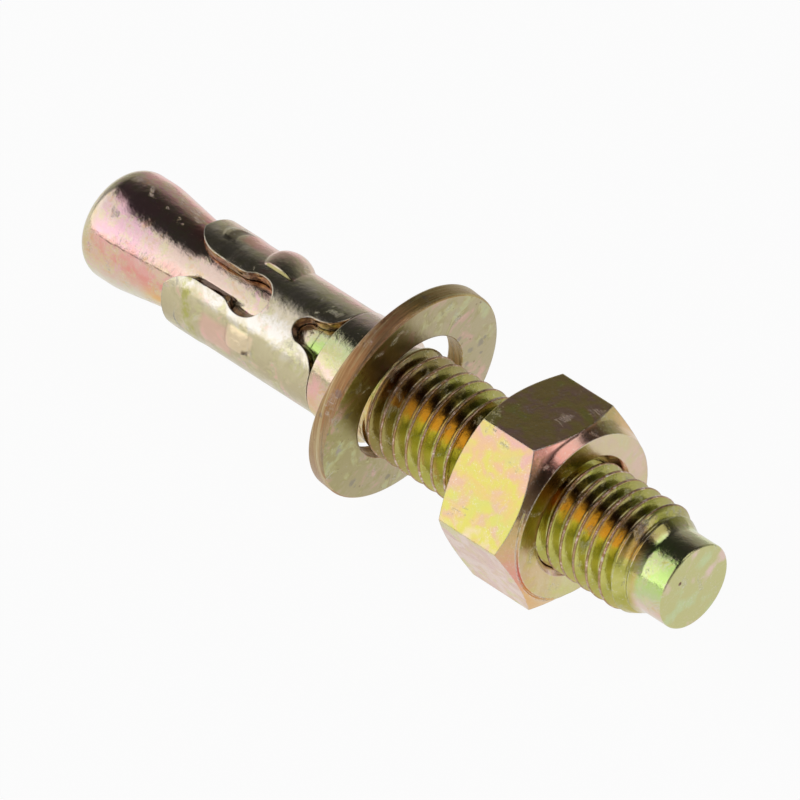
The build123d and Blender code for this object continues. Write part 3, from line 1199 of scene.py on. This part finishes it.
def store(data: bpy.types.Mesh, name: str, value: Callable[[Vector, Vector], float]) -> None:
    """Store a number on each face of a mesh in the row frame, for its material to read.

    Args:
        data: the mesh.
        name: the attribute's name.
        value: gives the number from a face's middle, in millimetres, and its normal, in the stud's frame.
    """
    to_stud, turn = AXIS.to_stud()
    values: list[float] = []
    for face in data.polygons:
        values += [value(to_stud @ face.center, turn @ face.normal)] * face.loop_total
    data.attributes.new(name, "FLOAT", "CORNER").data.foreach_set("value", values)


def finished(name: str, mesh: bmesh.types.BMesh, finish: bpy.types.Material,
             sharp: float) -> bpy.types.Object:
    """Put a mesh in the scene with its material and smooth faces.

    Args:
        name: the piece's name.
        mesh: the mesh in the making, in the row frame, which is freed.
        finish: the material.
        sharp: angle in degrees past which an edge stays sharp.

    Returns:
        The object, at the origin.
    """
    data = bpy.data.meshes.new(name)
    mesh.to_mesh(data)
    mesh.free()
    data.materials.clear()
    data.materials.append(finish)
    data.polygons.foreach_set("use_smooth", [True] * len(data.polygons))
    data.set_sharp_from_angle(angle=math.radians(sharp))
    return placed(name, data)


def settled(name: str, mesh: bmesh.types.BMesh, finish: bpy.types.Material) -> bpy.types.Object:
    """Close a mesh made in the stud's frame, move it to the row frame and put it in the scene.

    Args:
        name: the piece's name.
        mesh: the mesh in the making, which is freed.
        finish: the material.

    Returns:
        The object, at the origin.
    """
    bmesh.ops.remove_doubles(mesh, verts=mesh.verts, dist=WELD)
    bmesh.ops.dissolve_degenerate(mesh, edges=mesh.edges, dist=WELD / 4)
    bmesh.ops.recalc_face_normals(mesh, faces=mesh.faces)
    mesh.transform(AXIS.to_row())
    return finished(name, mesh, finish, SHARP)


@dataclass
class Stud:
    """Cone, neck, stop collar, rolled thread and impact point, as one piece."""

    finish: bpy.types.Material
    length: float = 80.0
    cone_radius: float = 5.95
    cone_edge: float = 2.2
    cone_land: float = 4.6
    cone_half_angle: float = 8.5
    cone_blend: float = 8.0
    neck_radius: float = 4.55
    step_height: float = 0.06
    step_length: float = 2.05
    collar_start: float = 33.0
    collar_length: float = 5.4
    collar_radius: float = 6.0
    collar_edge: float = 0.08
    collar_edge_round: float = 0.05
    shank_round: float = 0.3
    shank_radius: float = 5.4
    crest_radius: float = 5.925
    root_radius: float = 4.86
    thread_start: float = 39.4
    thread_end: float = 76.2
    thread_rise: tuple[float, float] = (40.0, 40.525)
    thread_fade: float = 2.6
    taper: tuple[float, float] = (74.0, 76.6)
    point_radius: float = 4.6
    point_blend: float = 1.0
    point_edge: float = 0.25

    def thread(self) -> ThreadForm:
        """The stud's rolled thread."""
        return ThreadForm(
            title="stud", start=self.thread_start, end=self.thread_end, ridge=self.crest_radius,
            groove=self.root_radius, body_radius=self.crest_radius, start_radius=self.shank_radius,
            start_ramp=self.thread_rise, end_radius=self.point_radius, end_ramp=self.taper,
            fade=self.thread_fade, outside=True)

    def taper_radius(self, along: float) -> float:
        """Radius of the taper at a distance along the stud."""
        share = (along - self.taper[0]) / (self.taper[1] - self.taper[0])
        return self.crest_radius + share * (self.point_radius - self.crest_radius)

    def build(self) -> bpy.types.Object:
        """Make the stud's mesh.

        Returns:
            The piece.
        """
        cone_foot = self.cone_land + (self.cone_radius - self.neck_radius) / math.tan(
            math.radians(self.cone_half_angle))
        step = self.collar_start - self.step_length
        step_radius = self.neck_radius + self.step_height
        collar_end = self.collar_start + self.collar_length
        head = fillet_path([
            (0, 0, 0),
            (0, self.cone_radius, self.cone_edge),
            (self.cone_land, self.cone_radius, self.cone_blend),
            (cone_foot, self.neck_radius, self.cone_blend),
            (step, self.neck_radius, 0),
            (step + self.step_height, step_radius, 0),
            (self.collar_start, step_radius, 0),
            (self.collar_start, self.collar_radius - self.collar_edge, 0),
            (self.collar_start + self.collar_edge, self.collar_radius, self.collar_edge_round),
            (collar_end - (self.collar_radius - self.shank_radius), self.collar_radius, self.shank_round),
            (collar_end, self.shank_radius, self.shank_round),
            (self.thread_start, self.shank_radius, 0),
        ], 6.0)
        point = fillet_path([
            (self.thread_end, self.taper_radius(self.thread_end), 0),
            (self.taper[1], self.point_radius, self.point_blend),
            (self.length, self.point_radius, self.point_edge),
            (self.length, 0, 0),
        ], 6.0)
        mesh = bmesh.new()
        revolved(mesh, head)
        mesh.from_mesh(self.thread().sleeve(self.finish))
        revolved(mesh, point)
        piece = settled("plated_stud", mesh, self.finish)
        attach(piece, "stud")
        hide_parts("stud")
        return piece


@dataclass
class Washer:
    """Stamped flat washer that leans on the stud."""

    finish: bpy.types.Material
    radius: float = 12.0
    hole_radius: float = 7.1
    thickness: float = 2.0
    edge: float = 0.25
    hole_edge: float = 0.12
    rim_depth: float = 0.2
    columns: int = 240
    centre: tuple[float, float, float] = (40.1, 0.25, 0.8518)
    lean: float = math.radians(7.4)

    def build(self) -> bpy.types.Object:
        """Make the washer's mesh.

        Returns:
            The piece.
        """
        half = self.thickness / 2
        corners = [
            (0.0, self.hole_radius, 0),
            (-half, self.hole_radius, self.hole_edge),
            (-half, self.radius, self.edge),
            (0.0, self.radius, 0),
            (half, self.radius, self.edge),
            (half, self.hole_radius, self.hole_edge),
            (0.0, self.hole_radius, 0),
        ]
        mesh = bmesh.new()
        revolved(mesh, fillet_path(corners, 15.0), self.columns)
        mesh.transform(Matrix.Translation(self.centre) @ Matrix.Rotation(self.lean, 4, "Y"))
        piece = settled("plated_washer", mesh, self.finish)
        store(piece.data, "rim", self.rim)
        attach(piece, "washer")
        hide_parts("washer")
        return piece

    def rim(self, middle: Vector, normal: Vector) -> float:
        """Say whether a face is part of the rim or of the hole's wall.

        Args:
            middle: the face's middle, in millimetres along the stud.
            normal: its normal, which makes no difference.

        Returns:
            One for such a face and zero for the washer's flat faces.
        """
        out = ((middle - Vector(self.centre)) @ Matrix.Rotation(self.lean, 3, "Y")).yz.length
        return float(not self.hole_radius + self.rim_depth < out < self.radius - self.rim_depth)


@dataclass
class Nut:
    """Hexagon nut with chamfered ends, a low round crown in front and its own thread."""

    finish: bpy.types.Material
    across_flats: float = 19.0
    back: float = 54.55
    body_height: float = 10.0
    face_radius: float = 8.2
    chamfer: float = math.radians(30)
    crown_radius: float = 8.95
    crown_height: float = 0.5
    crown_flare: float = 0.55
    crown_foot: tuple[float, float] = (0.55, 0.2)
    crown_shoulder: tuple[float, float] = (0.32, 0.14)
    land: float = 0.8
    wall_rows: tuple[float, ...] = (0.06, 0.25, 0.5, 0.75, 0.94)
    chamfer_depth: float = 3.0
    facing_front: float = 0.9
    facing_out: float = 0.2
    ring_overlap: float = 0.3
    bore_radius: float = 6.025
    minor_radius: float = 5.12
    sink_radius: float = 6.6
    lip: float = 0.2
    rounding: float = 0.16
    uneven: float = 0.9
    uneven_turn: float = math.radians(120)
    run_in: float = 0.905
    crease: float = math.radians(24)

    def corner_limit(self, turn: float) -> float:
        """Distance from the axis to the hexagon's side, in the direction of a turn."""
        from_flat = (turn + math.pi / 6) % (math.pi / 3) - math.pi / 6
        return self.across_flats / 2 / math.cos(from_flat)

    def slope(self, out: float) -> float:
        """How far the chamfer lies behind the face at a distance from the axis."""
        return (out - self.face_radius) * math.tan(self.chamfer)

    def outline(self, turn: float) -> list[tuple[float, float]]:
        """The nut's section at a turn, from one bore mouth over the outside to the other.

        Args:
            turn: the angle about the stud.

        Returns:
            Points of distance along and radius.
        """
        side = self.corner_limit(turn)
        front = self.back + self.body_height + self.uneven * max(0.0, math.cos(turn - self.uneven_turn))
        face = self.back + self.body_height + self.crown_height
        foot = self.crown_radius + self.crown_flare
        points = [(self.back + self.lip, self.sink_radius - self.lip), (self.back, self.sink_radius),
                  (self.back, self.face_radius - self.land), (self.back, self.face_radius)]
        points += [(self.back + self.slope(r), r) for r in np.linspace(self.face_radius, side, 5)[1:]]
        low, high = self.back + self.slope(side), front - self.slope(side)
        points += [(low + (high - low) * share, side) for share in self.wall_rows]
        points += [(front - self.slope(r), r) for r in np.linspace(side, foot, 4)]
        rim = self.crown_radius
        (share, inward), (drop, out) = self.crown_foot, self.crown_shoulder
        points += [(front - self.slope(foot) * share, foot - inward), (face - drop, rim + out), (face, rim),
                   (face, rim - self.land), (face, self.sink_radius),
                   (face - self.lip, self.sink_radius - self.lip)]
        return points

    def thread(self) -> ThreadForm:
        """The nut's inner thread, in step with the stud's."""
        depth = self.sink_radius - self.bore_radius
        front = self.back + self.body_height + self.crown_height
        start, end = self.back + self.lip, front - self.lip
        return ThreadForm(
            title="nut", start=start, end=end, ridge=self.bore_radius, groove=self.minor_radius,
            body_radius=self.minor_radius, start_radius=self.sink_radius - self.lip,
            start_ramp=(start, start + depth + self.run_in - self.lip),
            end_radius=self.sink_radius - self.lip,
            end_ramp=(end - depth - self.run_in + self.lip, end), fade=0.01, outside=False, flat=0.2)

    def build(self) -> bpy.types.Object:
        """Make the nut's mesh.

        Returns:
            The piece.
        """
        mesh = bmesh.new()
        turns = [math.tau * i / COLUMNS for i in range(COLUMNS)]
        columns = [[mesh.verts.new((x, -r * math.sin(a), r * math.cos(a))) for x, r in self.outline(a)]
                   for a in turns]
        for left, right in zip(columns, columns[1:] + columns[:1]):
            for i in range(len(left) - 1):
                mesh.faces.new((left[i], right[i], right[i + 1], left[i + 1]))
        edges = [e for e in mesh.edges if len(e.link_faces) == 2 and e.calc_face_angle() > self.crease]
        bmesh.ops.bevel(mesh, geom=edges, offset=self.rounding, segments=2, profile=0.5, affect="EDGES",
                        clamp_overlap=True)
        mesh.from_mesh(self.thread().sleeve(self.finish))
        piece = settled("plated_nut", mesh, self.finish)
        front = self.back + self.body_height
        store(piece.data, "chamfer", lambda middle, normal: float(
            middle.x > front - self.chamfer_depth and self.facing_out < normal.x < self.facing_front
            and middle.yz.length > self.crown_radius))
        store(piece.data, "ring", lambda middle, normal: float(
            normal.x > self.facing_front and middle.x > front
            and middle.yz.length > self.sink_radius - self.ring_overlap))
        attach(piece, "nut")
        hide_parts("hex_nut")
        return piece


@dataclass(frozen=True)
class KnobPress:
    """Where the press really left one knob.

    Attributes:
        turn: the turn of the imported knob's middle.
        along: its reach along the stud.
        around: its reach round the clip, from the middle.
        rise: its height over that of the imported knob, at its first side, its middle and its last side.
        fall: that height at its back end over the one at its front.
        slant: how far its last side lies back.
        dome: how domed it is; a low number makes it flat with steep ends.
    """

    turn: float
    along: tuple[float, float]
    around: tuple[float, float]
    rise: tuple[float, float, float]
    fall: float
    slant: float
    dome: float

    SOLID_ALONG = (19.6, 25.8)
    SOLID_AROUND = (-20.5, 21.5)
    EDGE_ALONG = (17.6, 28.2)
    EDGE_AROUND = (-29.0, 36.0)
    FADE_ALONG = (1.7, 2.0)
    FADE_AROUND = (7.0, 13.0)
    SLICE_ALONG = 0.53
    SLICE_AROUND = 2.5
    SHEET_RADIUS = 5.88
    SOLID_HEIGHT = 0.74

    def cut(self, mesh: bmesh.types.BMesh) -> None:
        """Cut the faces near the knob into small ones, so that they can be moved smoothly.

        Args:
            mesh: the merged clip, in millimetres along the stud.
        """
        turns = [math.radians(self.turn + float(step))
                 for step in np.arange(self.EDGE_AROUND[0], self.EDGE_AROUND[1] + 0.1, self.SLICE_AROUND)]
        alongs = np.arange(self.EDGE_ALONG[0], self.EDGE_ALONG[1] + 0.1, self.SLICE_ALONG)
        geometry = self.near(mesh)
        for spot, normal in (*(((0, 0, 0), (0, -math.cos(turn), -math.sin(turn))) for turn in turns),
                             *(((float(along), 0, 0), (1, 0, 0)) for along in alongs)):
            geometry = bmesh.ops.bisect_plane(mesh, geom=geometry, dist=1e-5, plane_co=spot,
                                              plane_no=normal)["geom"]
        bmesh.ops.triangulate(mesh, faces=[face for face in mesh.faces if len(face.verts) > 3])

    def near(self, mesh: bmesh.types.BMesh) -> list:
        """Faces near the knob with their edges and corners.

        Args:
            mesh: the merged clip, in millimetres along the stud.

        Returns:
            The geometry.
        """
        faces = []
        for face in mesh.faces:
            turns = [self.from_middle(vert.co) for vert in face.verts]
            alongs = [vert.co.x for vert in face.verts]
            if max(map(abs, turns)) < 90 and all(
                    min(values) < edge[1] and max(values) > edge[0]
                    for values, edge in ((turns, self.EDGE_AROUND), (alongs, self.EDGE_ALONG))):
                faces.append(face)
        edges = {edge for face in faces for edge in face.edges}
        verts = {vert for face in faces for vert in face.verts}
        return [*sorted(verts, key=lambda v: v.index), *sorted(edges, key=lambda e: e.index), *faces]

    def from_middle(self, spot: Vector) -> float:
        """Turn of a point from the knob's middle, in degrees."""
        return (math.degrees(math.atan2(-spot.y, spot.z)) - self.turn + 180) % 360 - 180

    @staticmethod
    def share(value: float, reach: tuple[float, float], fade: tuple[float, float]) -> float:
        """How much of the move a place takes, from zero at both ends of the reach to one past each fade."""
        low, high = reach
        return float(np.interp(value, (low, low + fade[0], high - fade[1], high), (0, 1, 1, 0)))

    def apply(self, mesh: bmesh.types.BMesh) -> None:
        """Move the knob's corners to where the press left them.

        Args:
            mesh: the merged clip, in millimetres along the stud.
        """
        self.cut(mesh)
        start, end = self.EDGE_ALONG
        first, last = self.EDGE_AROUND
        for vert in mesh.verts:
            spot, turn = vert.co, self.from_middle(vert.co)
            radius = spot.yz.length
            beside = self.share(spot.x, self.EDGE_ALONG, self.FADE_ALONG)
            across = self.share(turn, self.EDGE_AROUND, self.FADE_AROUND)
            if beside * across == 0 or abs(turn) > 90:
                continue
            along = float(np.interp(spot.x, (start, *self.SOLID_ALONG, end), (start, *self.along, end)))
            moved = float(np.interp(turn, (first, *self.SOLID_AROUND, last), (first, *self.around, last)))
            if radius > self.SHEET_RADIUS:
                rise = (float(np.interp(turn, (self.SOLID_AROUND[0], 0, self.SOLID_AROUND[1]), self.rise))
                        * float(np.interp(spot.x, self.SOLID_ALONG, (1, self.fall))))
                height = ((radius - self.SHEET_RADIUS) / self.SOLID_HEIGHT) ** self.dome
                radius = self.SHEET_RADIUS + self.SOLID_HEIGHT * height * rise
            along += beside * self.slant * turn / self.SOLID_AROUND[1]
            angle = math.radians(self.turn + turn + beside * (moved - turn))
            vert.co = (spot.x + across * (along - spot.x), -radius * math.sin(angle),
                       radius * math.cos(angle))


@dataclass
class Clip:
    """Expansion clip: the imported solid's own shape with torn walls, pressed knobs and true round normals.

    Attributes:
        finish: the material.
        sharp: angle in degrees past which an edge stays sharp.
        knob_turn: turn of a knob's middle.
        knob_reach: the knobs' reach along the stud.
        inside: radius under which a corner lies at the bore.
        outside: radius past which a face is no cut wall.
        round_limit: radius past which a face has left the round sheet.
        presses: the two knobs that the press left uneven.
        tear: how far the torn walls lean out at the bore.
        tear_reach: where the lean starts, is full, thins out and ends along the stud.
    """

    finish: bpy.types.Material
    sharp: float = 34.0
    knob_turn: float = 94.0
    knob_reach: tuple[float, float] = (19.3, 26.4)
    inside: float = 5.3
    outside: float = 5.97
    round_limit: float = 6.05
    presses: tuple[KnobPress, ...] = (
        KnobPress(-26.0, (19.6, 25.3), (-20.5, 28.0), (1.35, 1.2, 0.5), 0.7, 0.5, 1.0),
        KnobPress(94.0, (21.5, 25.2), (-21.0, 0.5), (0.03, 0.31, 0.8), 1.0, 0.0, 0.4),
    )
    tear: float = 0.36
    tear_reach: tuple[float, float, float, float] = (13.2, 16.5, 23.4, 24.8)

    def build(self) -> bpy.types.Object:
        """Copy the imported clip, merge it and give its round faces the normals of true cylinders.

        Returns:
            The piece.
        """
        mesh = bmesh.new()
        mesh.from_mesh(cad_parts["expansion_clip"].data)
        bmesh.ops.remove_doubles(mesh, verts=mesh.verts, dist=1e-6)
        self.tear_walls(mesh)
        bmesh.ops.transform(mesh, matrix=AXIS.to_stud()[0], verts=mesh.verts)
        for press in self.presses:
            press.apply(mesh)
        bmesh.ops.transform(mesh, matrix=AXIS.to_row(), verts=mesh.verts)
        piece = finished("plated_clip", mesh, self.finish, self.sharp)
        store(piece.data, "cut_wall", self.wall)
        store(piece.data, "torn_wall_shade", self.torn)
        self.true_normals(piece.data)
        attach(piece, "clip")
        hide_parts("expansion_clip")
        return piece

    def tear_walls(self, mesh: bmesh.types.BMesh) -> None:
        """Let the cut walls on one side of each finger lean out at the bore, as the press tore them.

        Args:
            mesh: the merged clip, in the row frame.
        """
        to_stud, turn = AXIS.to_stud()
        moved: set[bmesh.types.BMVert] = set()
        for face in mesh.faces:
            if self.torn(to_stud @ face.calc_center_median(), turn @ face.normal):
                moved.update(v for v in face.verts if (to_stud @ v.co).yz.length < self.inside)
        for vert in moved:
            spot = to_stud @ vert.co
            share = float(np.interp(spot.x, self.tear_reach, (0.0, 1.0, 1.0, 0.0)))
            lean = Matrix.Rotation(-self.tear * share / spot.yz.length, 3, "X")
            vert.co = AXIS.to_row() @ (lean @ spot)

    def torn(self, middle: Vector, normal: Vector) -> float:
        """Say whether a face is a wall on the torn side of a finger.

        Args:
            middle: the face's middle, in millimetres along the stud.
            normal: its normal in the stud's frame.

        Returns:
            One for such a wall and zero for anything else.
        """
        back = Vector((0, middle.z, -middle.y)).normalized()
        return float(normal.dot(back) > 0.3) * self.wall(middle, normal)

    def wall(self, middle: Vector, normal: Vector) -> float:
        """Say whether a face is a cut wall or faces the stud.

        Args:
            middle: the face's middle, in millimetres along the stud.
            normal: its normal in the stud's frame.

        Returns:
            One for such a face and zero for the outside.
        """
        out = Vector((0, middle.y, middle.z)).normalized()
        turn = math.degrees(math.atan2(-middle.y, middle.z)) - self.knob_turn
        beside = (turn + FINGER_STEP / 2) % FINGER_STEP - FINGER_STEP / 2
        knob = self.knob_reach[0] < middle.x < self.knob_reach[1] and abs(beside) < FINGER_STEP / 4
        return float(normal.dot(out) < 0.4 and middle.yz.length < self.outside and not knob)

    def true_normals(self, data: bpy.types.Mesh) -> None:
        """Set the normals of faces turned about the stud to those of the true surface.

        Args:
            data: the merged mesh, in the row frame.
        """
        to_stud, turn = AXIS.to_stud()
        spots = np.array([to_stud @ v.co for v in data.vertices])
        normals = np.array([c.vector for c in data.corner_normals])
        back = np.array(turn.transposed())
        for face in data.polygons:
            own, middle = turn @ face.normal, to_stud @ face.center
            out = Vector((0, middle.y, middle.z)).normalized()
            across, outward = own.dot(Vector((1, 0, 0)).cross(out)), own.dot(out)
            if abs(across) > 0.06 or abs(outward) < 0.5 or middle.yz.length > self.round_limit:
                continue
            for loop in face.loop_indices:
                spot = spots[data.loops[loop].vertex_index]
                round_out = np.array((0.0, spot[1], spot[2])) / math.hypot(spot[1], spot[2])
                flat = math.copysign(math.sqrt(1 - own.x**2), outward)
                normals[loop] = back @ (np.array((own.x, 0, 0)) + flat * round_out)
        data.normals_split_custom_set([tuple(n) for n in normals])


@dataclass(frozen=True)
class SoftBox:
    """A soft lamp a metre away that faces the anchor, and reaches below and above its heading by its rise."""

    title: str
    heading: tuple[float, float, float]
    width: float
    rise: tuple[float, float]
    radiance: float = 0.9


@dataclass
class Studio:
    """White floor and backdrop, dim ceiling, three soft lamps and the camera."""

    camera_place: tuple[float, float, float] = (0.72211702, -0.73300778, 0.71427218)
    camera_right: tuple[float, float, float] = (0.7105758, 0.70361214, 0.00346381)
    camera_up: tuple[float, float, float] = (-0.39913953, 0.39902592, 0.82550951)
    lens: float = 572.79
    sensor: float = 36.0
    clip: tuple[float, float] = (0.01, 50.0)
    lamps: tuple[SoftBox, ...] = (
        SoftBox("key_lamp", (-0.602, -0.522, 0.602), 1.35, (-0.71, 0.43)),
        SoftBox("side_lamp", (0.88, 0.43, 0.17), 0.42, (-0.12, 0.14)),
        SoftBox("top_lamp", (0.3, 0.2, 0.93), 0.64, (-0.32, 0.32), 1.15),
    )
    floor_size: float = 6.0
    floor_drop: float = 0.00003
    floor_camera: float = 0.95
    floor_metal: float = 0.78
    ceiling: tuple[tuple[float, float], ...] = (
        (0.0, 0.06), (0.02, 0.06), (0.03, 0.62), (0.2, 0.42), (0.42, 0.34), (0.56, 0.2), (0.7, 0.06),
        (0.85, 0.03))

    def build(self) -> None:
        """Make the camera, the lamps, the world and the floor."""
        self.camera()
        for box in self.lamps:
            self.lamp(box)
        self.world()
        self.floor()

    def camera(self) -> None:
        """Make the camera and set it as the scene's."""
        data = bpy.data.cameras.new("view")
        data.lens, data.sensor_width = self.lens, self.sensor
        data.clip_start, data.clip_end = self.clip
        camera = placed("view", data)
        right, up = Vector(self.camera_right), Vector(self.camera_up)
        turn = Matrix((right, up, right.cross(up))).transposed()
        camera.matrix_world = Matrix.Translation(self.camera_place) @ turn.to_4x4()
        bpy.context.scene.camera = camera

    def lamp(self, box: SoftBox) -> None:
        """Make one of the lamps.

        Args:
            box: where it stands, its size and its brightness.
        """
        data = bpy.data.lights.new(box.title, "AREA")
        data.shape = "RECTANGLE"
        data.size, data.size_y = box.width, box.rise[1] - box.rise[0]
        data.energy = box.radiance * math.pi * data.size * data.size_y
        lamp = placed(box.title, data)
        away = Vector(box.heading).normalized()
        side = Vector((0, 0, 1)).cross(away).normalized()
        climb = away.cross(side)
        turn = Matrix((side, climb, away)).transposed()
        lamp.matrix_world = Matrix.Translation(away + climb * sum(box.rise) / 2) @ turn.to_4x4()
        lamp.visible_camera = False

    def world(self) -> None:
        """Make the white backdrop, which gets darker towards the ceiling away from the camera."""
        world = bpy.data.worlds.new("studio")
        sketch = Sketch(emptied(world))
        around = sketch.node("ShaderNodeTexCoord").outputs["Generated"]
        height = sketch.ramp(sketch.parts(around)[2], 0.0, 1.0, smooth=False)
        level = sketch.shades(height, [(place, (share, share, share)) for place, share in self.ceiling])
        path = sketch.node("ShaderNodeLightPath").outputs
        shown = sketch.over(level, (1.0, 1.0, 1.0), path["Is Camera Ray"])
        light = sketch.node("ShaderNodeBackground", {"Color": shown})
        sketch.node("ShaderNodeOutputWorld", {"Surface": light.outputs[0]})
        bpy.context.scene.world = world

    def floor(self) -> None:
        """Make the pale floor, which keeps a soft shadow of the anchor."""
        half = self.floor_size / 2
        corners = [(x * half, y * half, -self.floor_drop) for x, y in ((-1, -1), (1, -1), (1, 1), (-1, 1))]
        data = bpy.data.meshes.new("floor")
        data.from_pydata(corners, [], [(0, 1, 2, 3)])
        material = bpy.data.materials.new("pale_floor")
        sketch = Sketch(emptied(material))
        paper = sketch.node("ShaderNodeBsdfDiffuse", {"Color": (0.9, 0.9, 0.9)})
        glow = sketch.node("ShaderNodeEmission", {"Color": (1.0, 1.0, 1.0)})
        path = sketch.node("ShaderNodeLightPath").outputs
        metal = sketch.math("MAXIMUM", path["Is Glossy Ray"], path["Is Transmission Ray"])
        seen = sketch.math("MAXIMUM", sketch.times(path["Is Camera Ray"], self.floor_camera),
                           sketch.times(metal, self.floor_metal))
        both = sketch.node("ShaderNodeMixShader", {0: seen, 1: paper.outputs[0], 2: glow.outputs[0]})
        sketch.node("ShaderNodeOutputMaterial", {"Surface": both.outputs[0]})
        data.materials.append(material)
        placed("floor", data)


def main() -> None:
    """Build the anchor's pieces and the studio."""
    logging.basicConfig(level=logging.INFO, format="%(name)s: %(message)s")
    groups = SharedGroups(AroundStud(), EdgeWear(), Scratches(), Pits(), Crazing())
    Studio().build()
    for maker in (Stud(STUD_FINISH.build(groups)), Clip(CLIP_FINISH.build(groups)),
                  Washer(WASHER_FINISH.build(groups)), Nut(NUT_FINISH.build(groups))):
        piece = maker.build()
        LOG.info("%s: %d faces", piece.name, len(piece.data.polygons))
    scene = bpy.context.scene
    scene.view_settings.view_transform = "Standard"
    bpy.context.view_layer.update()


if __name__ == "__main__":
    main()
